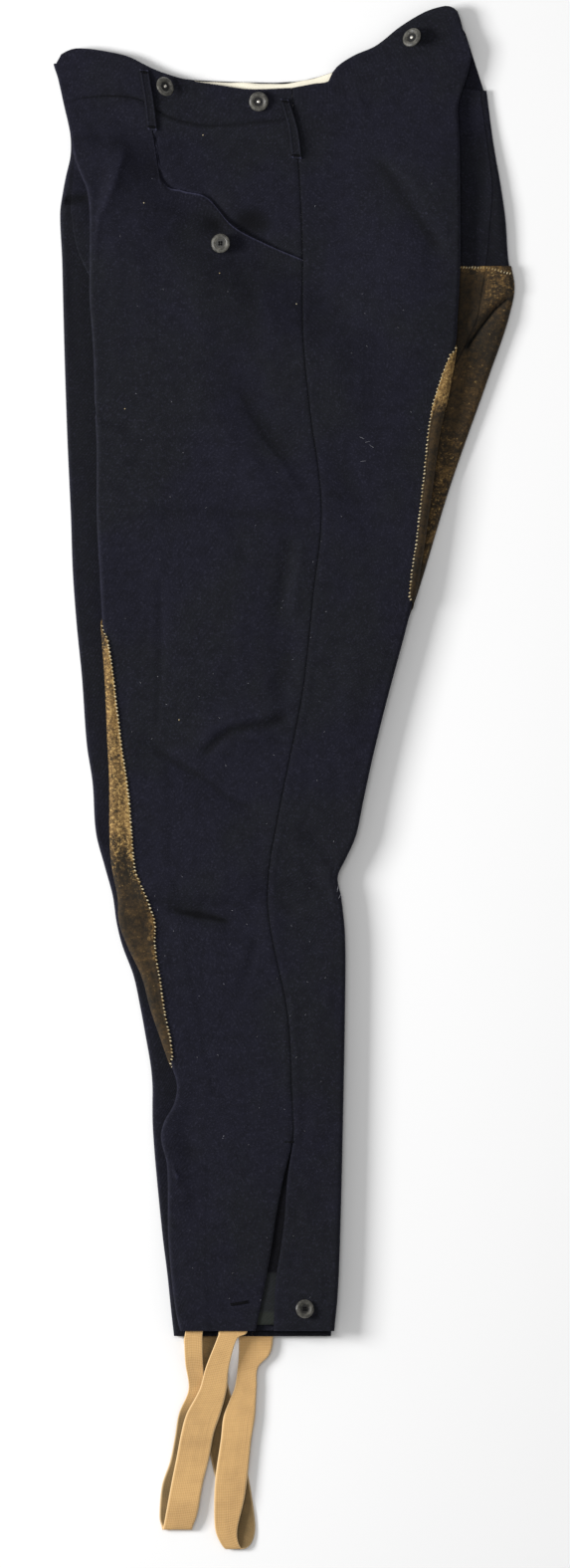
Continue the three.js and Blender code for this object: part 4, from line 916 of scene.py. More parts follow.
@dataclass(frozen=True)
class Rivet:
    """Bright tinned metal of the small rivet in the middle of each brace button."""

    name: str = "tinned_rivet"

    def build(self) -> bpy.types.Material:
        """Makes the material."""
        n = Nodes(self.name)
        tarnish = n.noise(n.place(), 900, 3, 0.6)
        colour = n.mix(n.step(tarnish, 0.4, 0.75) * 0.5, tone(226, 222, 212), tone(150, 142, 128))
        return n.finish(Base_Color=colour, Metallic=0.95, Roughness=0.28 + tarnish * 0.12)


@dataclass(frozen=True)
class Thread:
    """Twisted sewing thread."""

    name: str
    base: tuple
    shade: tuple

    def build(self) -> bpy.types.Material:
        """Makes the material."""
        n = Nodes(self.name)
        place = n.place()
        twist = n.noise(place, 1500, 2, 0.5)
        soil = n.noise(place, 150, 2, 0.5)
        colour = n.mix(n.step(soil + twist * 0.4, 0.5, 0.95), tone(*self.base), tone(*self.shade))
        return n.finish(Base_Color=colour, Roughness=0.85, Specular_IOR_Level=0.12,
                        Normal=n.bump(twist, 0.5, 0.15))


@dataclass
class Finishes:
    """All materials of the garment, made once."""

    wool: bpy.types.Material = field(default_factory=lambda: Wool().build())
    suede: bpy.types.Material = field(default_factory=lambda: Suede().build())
    tape: bpy.types.Material = field(default_factory=lambda: Woven(
        "cotton_tape", (203, 161, 103), (156, 119, 74), (232, 200, 153), 150, 210).build())
    lining: bpy.types.Material = field(default_factory=lambda: Woven(
        "cream_cotton", (250, 240, 214), (232, 214, 176), (255, 250, 232), 420, 420).build())
    horn: bpy.types.Material = field(default_factory=lambda: Horn().build())
    rivet: bpy.types.Material = field(default_factory=lambda: Rivet().build())
    linen: bpy.types.Material = field(default_factory=lambda: Thread(
        "linen_thread", (206, 194, 162), (150, 128, 84)).build())
    silk: bpy.types.Material = field(default_factory=lambda: Thread(
        "navy_thread", (10, 10, 13), (6, 6, 8)).build())
    lint: bpy.types.Material = field(default_factory=lambda: Thread(
        "pale_fibre", (150, 150, 156), (96, 96, 104)).build())


def dress(piece: bpy.types.Object, slot: str, nodes: tuple[str, ...] = ()) -> bpy.types.Object:
    """Rides a piece on the one body, hides the solids that it stands for and logs its slot."""
    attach(piece, "root")
    if nodes:
        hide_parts(*nodes)
    count = len(piece.data.polygons)
    log.info("%s: %d faces, slot %s", piece.name, count, slot)
    return piece


def lanes(stops: tuple[tuple[float, float, int], ...]) -> Array:
    """Lane values from stretches of start, end and number of steps, joined end to end."""
    parts = [np.linspace(start, end, steps + 1)[1:] for start, end, steps in stops]
    return np.concatenate([[stops[0][0]], *parts])


def groove(distance: Array) -> Array:
    """Dip of a panel beside a seam, and the ridge of the turning under it."""
    return 0.25 * bell(distance - 4.5, 2.4) - 0.45 * bell(distance, 0.9)


@dataclass(frozen=True)
class Panel:
    """One of the four leg panels, from its waist edge to its hem."""

    name: str
    leg: Leg
    side: Side
    first: float
    bend_end: float
    hem: float

    def lanes(self) -> Array:
        """Lanes of the grid, closest where the cloth folds and at its edges."""
        if self.leg is Leg.FAR:
            return lanes(((0, 1, 14), (1, 2, 14), (2, 2.04, 1), (2.04, 2.98, 22), (2.98, 3, 1)))
        face = ((5, 5.985, 40),)
        if self.side is Side.FRONT:
            face = ((5, 5.19, 12), (5.19, 5.31, 34), (5.31, 5.985, 32))
        return lanes(((0, 0.03, 1), (0.03, 1, 12), (1, 2, 7), (2, 3, 8), (3, 4, 12), (4, 5, 9),
                      *face, (5.985, 5.996, 2), (5.996, 6, 2)))

    def place(self, down: Array, lane: Array) -> tuple[Array, Array]:
        """Across and up at a place of the panel."""
        pick = PILE.near_place if self.leg is Leg.NEAR else PILE.far_place
        return pick(self.side, down, lane)

    def top(self, lane: Array) -> Array:
        """How far down the panel's top edge lies, lane by lane."""
        level = np.full_like(lane, 110.0 if self.side is Side.FRONT else 40.0)
        across = self.place(level, lane)[0]
        if self.leg is Leg.FAR:
            if self.side is Side.BACK:
                return np.where(lane < 1, FAR_TOP.read("down", across), CENTRE_BACK_TOP)
            edge = BAND_SEAM.read("down", self.place(np.full_like(lane, 90.0), lane)[0])
            return np.where(lane < 1, edge, BAND_SEAM_AT_FOLD) + SEAM_GAP / 2
        if self.side is Side.BACK:
            share = np.interp(lane, [0, 1, 2, 3, 4], [0, 1 / 12, 5 / 12, 7 / 12, 1])
            down = NEAR_BACK_TOP.read("down", across)
            settled = NEAR_BACK_TOP.read("down", self.place(down, lane)[0])
            return np.where(lane <= 4, lerp(CENTRE_BACK_TOP, 36, share), settled)
        down = level
        for _ in range(6):
            across = self.place(down, lane)[0]
            down = np.where(across < MOUTH_START, BAND_SEAM.read("down", across),
                            POCKET_MOUTH.read("down", across))
        return np.where(lane <= 4, BAND_SEAM_AT_FOLD, down) + SEAM_GAP / 2

    def grid(self, rows: Array, lane: Array) -> tuple[Array, Array]:
        """Down and lane over the grid; the top rows bend to follow the top edge."""
        part = (rows - self.first) / (self.bend_end - self.first)
        top = self.top(lane)[None, :]
        bent = lerp(top, self.bend_end, part[:, None])
        down = np.where(rows[:, None] < self.bend_end, bent, rows[:, None])
        return down, np.broadcast_to(lane, down.shape).copy()

    def rows(self) -> Array:
        """Rows from the waist edge to the hem, closer at both ends."""
        count = int((self.hem - self.first) / ROW_STEP)
        middle = np.linspace(self.first, self.hem, count)[1:-1]
        return np.concatenate([[self.first, self.first + 0.5], middle,
                               [self.hem - 1.2, self.hem - 0.4, self.hem]])

    def surface(self, rows: Array | None = None, lane: Array | None = None) -> Surface:
        """The outer face, with the dips beside its seams and edges, and masks of painted highlight
        and wear at its folds and of painted shade in its hollows.
        """
        rows = self.rows() if rows is None else rows
        lane = self.lanes() if lane is None else lane
        down, lane = self.grid(rows, lane)
        across, up = self.place(down, lane)
        surface = Surface.laid(across, down, up, self.side.value)
        face = smooth(lane - 4)
        if self.leg is Leg.FAR:
            sunk = strip_relief(across, down)[1]
            # Painted highlight and wear at the fold edge; painted shadow of the top leg on the strip,
            # and painted shade in its creases.
            surface.mask["edge"] = 0.4 * bell(lane - 1.6, 0.2)
            in_creases = 1.1 * smooth(sunk / 2.4) * smooth(lane - 1.3)
            surface.mask["hollow"] = 0.6 * smooth((lane - 1.7) / 0.5) + in_creases
            return surface
        seam = SEAM_LINES.read("front" if self.side is Side.FRONT else "back", down)
        distance = np.abs(seam - across)
        top = down - self.top(lane[0])[None, :]
        sewn = 1 - smooth((down - SLIT_HEAD) / 10)
        dips = groove(distance) * sewn - 0.6 * bell(distance, 1.1) * (1 - sewn)
        upper = -0.5 * bell(top, 1.3) + 0.3 * bell(top - 4.5, 2.6)
        if self.side is Side.FRONT:
            upper += 1.6 * bell(across - 160, 20) * bell(top, 9)
        hem = HEM_NEAR - down
        lower = -0.8 * bell(hem, 1.3) - 0.25 * bell(hem - 24, 1.2)
        surface.points[..., 2] += (dips + upper + lower) * face
        _, ridges, hollows = relief(across, down)
        # Painted highlight and wear along the fold edge and the ridges; painted highlight along the
        # pocket mouth's lip, the top edge and the hem; the ring is wear.
        lip = 0.9 * smooth((across - 86) / 12) if self.side is Side.FRONT else 0.15
        ring = np.hypot(across - RING_MARK[0], down - RING_MARK[1])
        highlights_and_wear = lip * bell(top, 1.4) + 0.4 * bell(hem, 1.2) + 0.28 * bell(ring - RING_RADIUS, 1.5)
        surface.mask["edge"] = 0.36 * bell(lane - 3.72, 0.12) + face * (ridges * 0.9 + highlights_and_wear)
        # Painted shade in the seams, the band seam left of the pocket mouth, the crease hollows, a
        # soft spot left of the pocket button and the strip's creases.
        in_seam = bell(distance, 0.9) * sewn
        if self.side is Side.FRONT:
            in_seam += bell(top, 1.8) * smooth((MOUTH_START - across) / 3)
        sunk = strip_relief(across, down)[1]
        deep = 1.3 * smooth(hollows / 4.5) + 0.9 * smooth((hollows - 3.2) / 1.5)
        if self.side is Side.FRONT:
            deep += 0.9 * bell(across - PANEL_SHADE_SPOT[0], 15) * bell(down - PANEL_SHADE_SPOT[1], 10)
        on_strip = 1.2 * smooth(sunk / 2.4) * (1 - smooth(lane - 1))
        surface.mask["hollow"] = face * (deep + 0.8 * in_seam) + on_strip
        return surface


NEAR_FRONT = Panel("left_front", Leg.NEAR, Side.FRONT, FRONT_TOP, FRONT_BEND_END, HEM_NEAR)
NEAR_BACK = Panel("left_back", Leg.NEAR, Side.BACK, 0, BACK_BEND_END, HEM_NEAR)
FAR_FRONT = Panel("right_front", Leg.FAR, Side.FRONT, FRONT_TOP, FRONT_BEND_END, HEM_FAR)
FAR_BACK = Panel("right_back", Leg.FAR, Side.BACK, 0, BACK_BEND_END, HEM_FAR)


def lay_cloth(name: str, node: str, surface: Surface, finish: bpy.types.Material,
              thickness: float, slot: str = "cloth",
              turned: float = 0) -> None:
    """Args:
        name: name of the piece.
        node: the solid that it stands for.
        surface: its outer face.
        finish: its material.
        thickness: thickness of the cloth in millimetres.
        slot: material slot.
        turned: width in millimetres that is turned down at its two long edges.
    """
    piece = dress(surface.build(name, finish, thickness), slot, (node,))
    (width, length), area = surface.cut()
    width += turned * MILLIMETRE
    area = min(area + turned * MILLIMETRE * length, width * length)


@dataclass
class Legs:
    """The four panels of wool."""

    finishes: Finishes

    def build(self) -> None:
        for panel in (NEAR_FRONT, NEAR_BACK, FAR_FRONT, FAR_BACK):
            lay_cloth(f"{panel.name}_cloth", panel.name, panel.surface(), self.finishes.wool, CLOTH)


@dataclass
class Strapping:
    """The leather on the seat and the inner legs, and its stitching."""

    finishes: Finishes
    seat_wrap: tuple = (262, 308, 462, 520)
    knee_wrap: tuple = (472, 560, 846, 892)

    @staticmethod
    def round_fold(down: Array, wrap: tuple) -> Array:
        """How far the leather's edge has come round the fold, from 0 to 1."""
        start, full, leaving, gone = wrap
        return smooth((down - start) / (full - start)) * smooth((gone - down) / (gone - leaving))

    def near(self, panel: Panel, top: float, end: float, wrap: tuple) -> Surface:
        """Leather on a near panel, its edge coming round the fold within the wrap."""
        rows = np.linspace(top, end, int((end - top) / 2.8))
        share = lanes(((0, 0.01, 1), (0.01, 0.2, 10), (0.2, 0.4, 6), (0.4, 0.6, 8), (0.6, 0.8, 12),
                       (0.8, 0.97, 8), (0.97, 1, 2)))
        edge = self.round_fold(rows, wrap)
        lane = share[None, :] * (2.5 + 2.5 * edge)[:, None]
        down = np.broadcast_to(rows[:, None], lane.shape).copy()
        across, up = panel.place(down, lane)
        base = Surface.laid(across, down, up, panel.side.value)
        surface = base.moved(LAY_GAP + LEATHER)
        from_edge = (1 - share[None, :]) * np.ones_like(down)
        if panel.side is Side.FRONT:
            wear_and_painted_light = 0.47 * smooth((745 - down) / 70) * smooth((down - 500) / 40) - 0.12
        else:
            wear_and_painted_light = 0.56 * smooth((346 - down) / 24) * smooth((0.34 - from_edge) / 0.08) - 0.22
            # Painted shadow of the top leg on the lanes below 1.6, by the centre back seam, with a
            # paler band along the top edge.
            wear_and_painted_light += smooth(1.6 - lane) * (0.95 * bell(down - top, 9) - 0.46)
        # Painted highlight and wear where the leather's edge comes round the fold.
        edge_wear_and_highlight = bell(from_edge, 0.04) * edge[:, None]
        surface.mask["rub"] = 0.1 + wear_and_painted_light + 0.35 * edge_wear_and_highlight
        dip = -0.5 * bell(from_edge, 0.012) - 0.35 * bell(from_edge - 0.085, 0.014)
        surface.points[..., 2] += dip * edge[:, None]
        return surface

    def far(self, panel: Panel, top: float, end: float, first: float) -> Surface:
        """Leather on a far panel, from a lane of its fold in to the seam."""
        rows = np.linspace(top, end, int((end - top) / 3))
        share = lanes(((0, 0.98, 34), (0.98, 1, 1)))[None, :]
        start = first + 0.4 * smooth((rows[:, None] - 845) / 25) * (panel.side is Side.FRONT)
        lane = lerp(start, 3, share)
        down = np.broadcast_to(rows[:, None], lane.shape).copy()
        across, up = panel.place(down, lane)
        surface = Surface.laid(across, down, up, panel.side.value).moved(LAY_GAP + LEATHER)
        sunk = strip_relief(across, down)[1]
        seat = 0.02 + 0.2 * bell(down - top - 14, 26) + 0.2 * bell(down - 410, 60)
        right = smooth((across - BACK_FOLDS.read("seam", down)) / 3)
        # Left of the centre back seam the leather is darkened with painted shadow of the top leg,
        # with a paler band along its top edge.
        left = -0.7 + 1.0 * bell(down - top, 6)
        wear_and_painted_light = np.where(across > 250, lerp(left, seat, right), 0.05)
        # Painted shade in the strip's creases.
        surface.mask["rub"] = wear_and_painted_light - smooth(sunk / 2.2) * 1.1
        return surface

    def build(self) -> None:
        """Makes the four strappings with their whip stitches."""
        suede = self.finishes.suede
        pieces = (
            ("left_seat_strapping", self.near(NEAR_BACK, SEAT_TOP, SEAT_END, self.seat_wrap)),
            ("left_knee_strapping", self.near(NEAR_FRONT, KNEE_TOP, KNEE_END, self.knee_wrap)),
            ("right_seat_strapping", self.far(FAR_BACK, SEAT_TOP, SEAT_END, 1.4)),
            ("right_knee_strapping", self.far(FAR_FRONT, KNEE_TOP, KNEE_END, 2.15)),
        )
        for name, surface in pieces:
            piece = surface.build(f"{name}_leather", suede, LEATHER)
            dress(piece, "leather", (name,))
        self.stitch("knee_whip_stitches", NEAR_FRONT, 511, 876)
        self.stitch("seat_whip_stitches", NEAR_BACK, 279, 492)
        self.seat_top()

    def stitch(self, name: str, panel: Panel, top: float, end: float) -> None:
        """Whip stitches over the edge of the leather on a near panel."""
        rng = np.random.default_rng(11)
        down = np.arange(top, end, 3.05)
        down += rng.uniform(-0.35, 0.35, len(down))
        wrap = self.seat_wrap if panel.side is Side.BACK else self.knee_wrap
        across, up = panel.place(down, 2.5 + 2.5 * self.round_fold(down, wrap))
        beads(name, at(across, down, up + LEATHER + 0.3), (panel.side.value * 0.92, -0.38, 0.0),
              (0.98, 0.62, 0.5), self.finishes.linen, "leather")

    def seat_top(self) -> None:
        """Small stitches along the top edge of the seat leather."""
        across = np.arange(335.5, 377, 2.4)
        down = SEAT_TOP + 1.2 + 5 * smooth((across - 356) / 22)
        up = np.full_like(across, 2 * PILE.leg_fold + LEATHER + 0.45)
        beads("seat_top_stitches", at(across, down, up), (0.35, 0.93, 0.0), (0.95, 0.4, 0.35),
              self.finishes.linen, "leather")


def beads(name: str, centres: Array, ways: Array, size: tuple[float, float, float],
          finish: bpy.types.Material, slot: str = "cloth", uneven: float = 1) -> None:
    """Small closed ovals at the centres, their long axes along the ways, as one piece.

    A bead's point is size times the cosines and sines of its angles round and along, so each one
    is a squashed sphere of 8 sides and 5 rings between two poles.

    Args:
        name: name of the joined mesh.
        centres: places in millimetres.
        ways: direction of each long axis, or one for all.
        size: half lengths along, across and up.
        finish: material.
        slot: material slot.
        uneven: share of the usual spread in their sizes and places.
    """
    rng = np.random.default_rng(len(centres))
    turn = np.linspace(0, 2 * np.pi, 8, endpoint=False)
    lift = np.linspace(-np.pi / 2, np.pi / 2, 7)[1:-1]
    ring = np.stack([np.sin(lift)[:, None] * np.ones(8), np.cos(lift)[:, None] * np.cos(turn),
                     np.cos(lift)[:, None] * np.sin(turn)], axis=-1).reshape(-1, 3)
    unit = np.concatenate([[[-1, 0, 0]], ring, [[1, 0, 0]]]) * np.array(size)
    ways = np.broadcast_to(np.asarray(ways, float), centres.shape)
    way = ways / np.linalg.norm(ways, axis=1, keepdims=True)
    steep = np.abs(way[:, 2:]) > 0.8
    up = np.where(steep, [[0.0, 1.0, 0.0]], [[0.0, 0.0, 1.0]])
    cross = np.cross(up, way)
    cross /= np.linalg.norm(cross, axis=1, keepdims=True)
    rise = np.cross(way, cross)
    axes = np.stack([way, cross, rise], axis=1)
    scale = 1 + uneven * rng.uniform(-0.18, 0.15, (len(centres), 1, 1))
    shift = uneven * rng.uniform(-0.18, 0.18, (len(centres), 1, 3)) * np.array([1, 1, 0.2])
    points = centres[:, None, :] + (unit[None] * scale) @ axes + shift
    k = np.arange(8)
    nxt = (k + 1) % 8
    side = np.concatenate([np.stack([1 + r * 8 + k, 1 + r * 8 + nxt, 9 + r * 8 + nxt,
                                     9 + r * 8 + k], axis=1) for r in range(4)])
    first = np.stack([np.zeros(8, int), 1 + nxt, 1 + k], axis=1)
    last = np.stack([np.full(8, 41), 33 + k, 33 + nxt], axis=1)
    starts = len(unit) * np.arange(len(centres))[:, None, None]
    quads = (side[None] + starts).reshape(-1, 4)
    caps = (np.concatenate([first, last])[None] + starts).reshape(-1, 3)
    dress(closed(name, points, quads.tolist() + caps.tolist(), finish), slot)


@dataclass
class Waist:
    """Waistbands, the facing of the far waist, the pocket and the belt loops."""

    finishes: Finishes
    loop_thickness: float = 1.8

    def band(self, panel: Panel, top_edge: Table) -> Surface:
        """A waistband from its top edge to the band seam."""
        lane = panel.lanes()
        on_fold = (lane <= 4) if panel.leg is Leg.NEAR else (lane >= 1)
        reach = panel.place(np.full_like(lane, 75.0), lane)[0]
        top = np.where(on_fold, CENTRE_FRONT_TOP, top_edge.read("down", reach))
        seam = np.where(on_fold, BAND_SEAM_AT_FOLD, BAND_SEAM.read("down", reach)) - SEAM_GAP / 2
        part = np.concatenate([[0, 0.015], np.linspace(0.05, 0.95, 16), [0.985, 1]])[:, None]
        down = lerp(top[None], seam[None], part)
        lane = np.broadcast_to(lane, down.shape).copy()
        across, up = panel.place(down, lane)
        surface = Surface.laid(across, down, up, panel.side.value)
        to_top, to_seam = down - top[None], seam[None] - down
        dips = -0.6 * bell(to_top, 1.2) + groove(to_seam)
        face = smooth((lane - 4) / 0.6) if panel.leg is Leg.NEAR else np.zeros_like(lane)
        surface.points[..., 2] += dips * face
        # Painted highlight along the top edge; painted shade along the band seam.
        surface.mask["edge"] = 0.4 * bell(to_top, 1.6) * face
        surface.mask["hollow"] = bell(to_seam, 1.5) * face
        return surface

    def facing(self) -> Surface:
        """Cream facing on the inside of the far waist, a little wavy along its edge."""
        across = np.broadcast_to(np.linspace(116, 232, 90), (16, 90)).copy()
        part = np.linspace(0, 1, 16)[:, None]
        edge = 0.6 * np.sin(across / 9) + 0.35 * np.sin(across / 3.7)
        down = FAR_TOP.read("down", across) + 0.8 + edge * (1 - part) * 0.6 + 34 * part
        up = CLOTH + LAY_GAP + LINING + 0.25 * np.sin(across / 6) * (1 - part)
        surface = Surface.laid(across, down, up, 1)
        surface.mask["edge"] = np.broadcast_to(1 - part, across.shape)
        return surface

    def pocket(self) -> Surface:
        """Side piece of the pocket: under the band above, sunk below the mouth, gaping at its end.

        Its height is the top sheet's less a drop under the mouth's edge, which fades out within
        5 to 11 mm of the mouth, and less a soft pit beside the button.
        """
        columns = np.concatenate([np.linspace(0, 0.97, 72), [0.98, 0.988, 0.993, 0.997, 1]])
        rows = np.concatenate([[-0.07, -0.035], np.linspace(0, 1, 64)])
        part, row = np.meshgrid(columns, rows, indexing="xy")
        guess = lerp(POCKET_START, 201.0, part)
        seam_down = BAND_SEAM.read("down", guess)
        mouth = np.maximum(120, POCKET_MOUTH.read("down", guess))
        down = lerp(seam_down, mouth + 20, row)
        across = lerp(POCKET_START, SEAM_LINES.read("front", down) - SEAM_GAP / 2, part)
        along = np.linspace(POCKET_START, 206, 60)
        edge = POCKET_MOUTH.read("down", along)
        gaps = np.hypot(down[..., None] - edge, across[..., None] - along)
        under = down > POCKET_MOUTH.read("down", across)
        away = np.where(under, -gaps.min(-1), gaps.min(-1))
        open_part = smooth((down - 136) / 12)
        drop = lerp(2.3, 2.8, open_part) * smooth(1 - away / lerp(5, 11, open_part))
        gape = 3 * bell(across - POCKET_PIT[0], 15) * bell(down - POCKET_PIT[1], 10)
        tucked = 2.1 * smooth(-row / 0.02)
        up = PILE.top_height(across, down) - np.maximum(drop + gape, tucked)
        up = np.maximum(2 * CLOTH + 0.4, up)
        to_seam = SEAM_LINES.read("front", down) - across
        up += groove(np.maximum(down - seam_down, 0)) * (row > 0) * smooth(away / 5) + groove(to_seam)
        surface = Surface.laid(across, down, up, 1)
        below = down - seam_down
        # Painted highlight on ridges, below the band seam and along the mouth's lip; painted shade in
        # the gaping pit and in the seams.
        surface.mask["edge"] = (relief(across, down)[1] * 0.6 + 0.3 * bell(below - 3.6, 1.3)
                                + 0.45 * bell(away, 2.2))
        in_seams = bell(below, 1.6) + 0.8 * bell(to_seam, 0.9)
        surface.mask["hollow"] = smooth(gape / 2.6) * 1.4 + in_seams
        return surface

    def loop(self, path: tuple[tuple[float, float, float], ...]) -> Surface:
        """A belt loop: a folded band along a bent line, its two long edges a little raised.

        Args:
            path: rows of share of the length, across and down.

        Returns:
            The outer face of the loop.
        """
        line = Table(("share", "across", "down", "wide"), path)
        part, side = np.meshgrid(np.linspace(0, 1, 70), np.linspace(-1, 1, 17), indexing="ij")
        across = line.read("across", part) + side * line.read("wide", part) / 2
        down = line.read("down", part) + side * 0.6
        seat = np.max([PILE.top_height(across, down + k) for k in (-5, 0, 5)], axis=0)
        ends = np.minimum(part, 1 - part)
        arch = 0.9 * smooth(ends / 0.2) - 0.6 * bell(ends - 0.04, 0.025)
        crown = 0.55 * bell(np.abs(side) - 0.68, 0.15) - 1.1 * np.abs(side) ** 8
        up = seat + LAY_GAP + self.loop_thickness + arch + crown
        surface = Surface.laid(across, down, up, 1)
        # Painted highlight along both edges and at the ends; painted shade over the whole loop,
        # deepest at its sides.
        surface.mask["edge"] = 0.42 * bell(np.abs(side) - 0.66, 0.16) + 0.4 * bell(ends, 0.03)
        surface.mask["hollow"] = 0.4 + 0.7 * np.abs(side) ** 6
        return surface

    def build(self) -> None:
        """Makes the pieces about the waist."""
        wool = self.finishes.wool
        for name, panel, edge in (("left_waistband", NEAR_FRONT, NEAR_FRONT_TOP),
                                  ("right_waistband", FAR_FRONT, FAR_TOP)):
            lay_cloth(f"{name}_cloth", name, self.band(panel, edge), wool, CLOTH)
        lay_cloth("waist_facing", "waist_lining", self.facing(), self.finishes.lining, LINING,
                  "lining")
        lay_cloth("pocket_side_piece", "left_pocket", self.pocket(), wool, CLOTH)
        loops = {
            "belt_loop_front": ((0, 74.4, 52.4, 8.6), (0.5, 78.6, 77, 8.8), (1, 81.4, 101.6, 9.2)),
            "belt_loop_rear": ((0, 190.4, 76.6, 7.8), (0.5, 197.4, 101, 9), (1, 200.4, 125, 9.8)),
        }
        for name, path in loops.items():
            surface = self.loop(path)
            lay_cloth(f"{name}_cloth", name, surface, wool, self.loop_thickness,
                      turned=2 * self.loop_thickness)
            self.tack(f"{name}_tack", surface.points[3])
            self.tack(f"{name}_low_tack", surface.points[-4])

    def tack(self, name: str, line: Array) -> None:
        """Bar of close stitches across a belt loop, on a row of its surface."""
        centres = np.linspace(line[2], line[-3], 9) + np.array([0, 0, 0.12])
        beads(name, centres, (0.15, 1.0, 0.0), (1.2, 0.34, 0.3), self.finishes.silk)


@dataclass
class Calf:
    """The slit at the calf: its underlap and the buttonhole of the front edge."""

    finishes: Finishes
    top: float = 926
    bottom: float = 1086
    front: float = 158
    back: float = 197
    drop: float = 2.5

    def build(self) -> None:
        """Makes the underlap and the buttonhole."""
        down, across = np.meshgrid(np.linspace(self.top, self.bottom, 70),
                                   np.linspace(self.front, self.back, 22), indexing="ij")
        up = PILE.top_height(across, down) - self.drop
        up += 0.3 * bell(down - 1044, 1.6) - 0.25 * bell(down - 1076, 1.5)
        surface = Surface.laid(across, down, up, 1)
        surface.mask["patch"] = 0.42 * smooth((down - 1043) / 2) + 0.5 * smooth((down - 1074) / 2)
        # Painted shade over the underlap in the open slit, above the facing patch.
        surface.mask["hollow"] = 1.6 * (1 - smooth((down - 1043) / 2))
        lay_cloth("calf_underlap", "left_underlap", surface, self.finishes.wool, 1.0)
        self.buttonhole()

    def buttonhole(self) -> None:
        """Close stitches in two rows round the slot, and the bar at the head of the slit."""
        along = np.linspace(0, 1, 20)
        start, end = np.array([146.0, 1069.3]), np.array([160.7, 1066.8])
        way = (end - start) / np.linalg.norm(end - start)
        square = np.array([-way[1], way[0]])
        rows = [start + (end - start) * along[:, None] + square * offset for offset in (-0.75, 0.75)]
        places = np.concatenate(rows)
        across, down = places[:, 0], places[:, 1]
        centres = at(across, down, PILE.top_height(across, down) + 0.1)
        beads("calf_buttonhole", centres, (square[0], -square[1], 0.0), (0.62, 0.42, 0.3),
              self.finishes.silk)
        # Painted shade: a dark bead lies in the buttonhole's cut.
        across, down = ((start + end) / 2)[:, None]
        slot = at(across, down, PILE.top_height(across, down) + 0.1)
        beads("calf_button_slot", slot, (way[0], -way[1], 0.0), (6.6, 0.5, 0.3),
              self.finishes.silk, uneven=0)
        across = np.linspace(190.4, 197.6, 12)
        down = np.full_like(across, 935.4)
        bar = at(across, down, PILE.top_height(across, down) - 0.1)
        beads("slit_bar", bar, (0.1, 1.0, 0.0), (0.95, 0.36, 0.3), self.finishes.silk)


@dataclass
class Tapes:
    """The two stirrup tapes, loops of cotton tape that pass under the foot."""

    finishes: Finishes
    left: Table = Table(("row", "down", "left", "right", "height"), (
        (0, 1064, 137, 163, 14.8), (1, 1091, 136, 160, 14.8), (2, 1098, 134.5, 151, 14.4),
        (3, 1121, 125.5, 144.5, 11.4), (4, 1140, 120, 142.5, 9.2), (5, 1160, 109.5, 137.4, 7.2),
        (6, 1176, 105, 132, 6.6), (7, 1197, 101, 128, 6.2), (8, 1218, 96.8, 122.8, 6),
        (9, 1241, 92.6, 118.8, 6), (10, 1252, 90.6, 115, 5.2), (11, 1256, 89.6, 113.6, 3),
        (12, 1253, 88.6, 112.8, 1), (13, 1244, 87, 113, 0), (14, 1220, 89, 116, 0),
        (15, 1200, 95.6, 122, 0.4), (16, 1180, 99.6, 124, 2), (17, 1160, 103, 124, 2.6),
        (18, 1140, 111, 124.6, 4.2), (19, 1118, 108.4, 123, 8.4), (20, 1100, 107.6, 122.6, 12.2),
        (21, 1091, 108.6, 123, 13.3), (22, 1064, 112, 126, 13.4),
    ))
    right: Table = Table(("row", "down", "left", "right", "height"), (
        (0, 1066, 152.6, 181, 5), (1, 1096, 152.6, 181, 5), (2, 1111, 152.4, 178, 5),
        (3, 1122, 151.6, 168.4, 5.2), (4, 1138, 149.2, 167.2, 5.4), (5, 1150, 144.4, 166.6, 5.4),
        (6, 1163, 139.8, 165.8, 5.6), (7, 1182, 137.6, 162.8, 5.8), (8, 1211, 133.4, 159.8, 5.8),
        (9, 1231, 132.2, 157, 6), (10, 1254, 132.8, 151.6, 6), (11, 1266, 137, 152, 5.2),
        (12, 1272, 142, 156, 3), (13, 1267, 145, 163, 1), (14, 1254, 141, 166, 0),
        (15, 1230, 137.6, 163.4, 0), (16, 1205, 131, 159, 0), (17, 1176, 125.4, 153, 0),
        (18, 1150, 119, 147, 0), (19, 1122, 112, 140, 0), (20, 1104, 107.6, 136.4, 0.6),
        (21, 1096, 107, 136, 2), (22, 1066, 107, 136, 2.1),
    ))

    def surface(self, table: Table, clear_after: float) -> Surface:
        """A tape: a smooth curve through its table, lifted a little along both selvedges.

        Args:
            table: places of the tape's two edges, from its upper end round to its lower end.
            clear_after: row after which its inner face is free again of soil and painted shade.

        Returns:
            The face that is upward on the upper run.
        """
        row, side = np.meshgrid(np.linspace(0, 22, 265), np.linspace(-1, 1, 15), indexing="ij")
        left, right = table.read("left", row), table.read("right", row)
        across = lerp(left, right, (side + 1) / 2)
        down = table.read("down", row)
        up = table.read("height", row) + 0.12 * bell(np.abs(side) - 0.93, 0.07)
        surface = Surface.laid(across, down, np.maximum(up, 0), 1)
        surface.mask["edge"] = bell(np.abs(side) - 1, 0.1)
        # Painted shade and soil on the inner face round the bend.
        surface.mask["inside"] = smooth((row - 11.4) / 1.2) * (1 - smooth((row - clear_after) / 1.5))
        return surface

    def build(self) -> None:
        """Makes both tapes."""
        for name, table, clear_after in (("left_stirrup_tape", self.left, 16.5),
                                   ("right_stirrup_tape", self.right, 24)):
            lay_cloth(f"{name}_cotton", name, self.surface(table, clear_after), self.finishes.tape, TAPE,
                      "tape")


class Face(Enum):
    """Middle of a button: four sewn holes, or a domed stud."""

    HOLES = "holes"
    STUD = "stud"


@dataclass(frozen=True)
class Lean:
    """How a button hangs on its thread: its tilt in degrees and the way that its face turns."""

    face: Face
    degrees: float
    way: tuple[float, float]
    size: float = 1


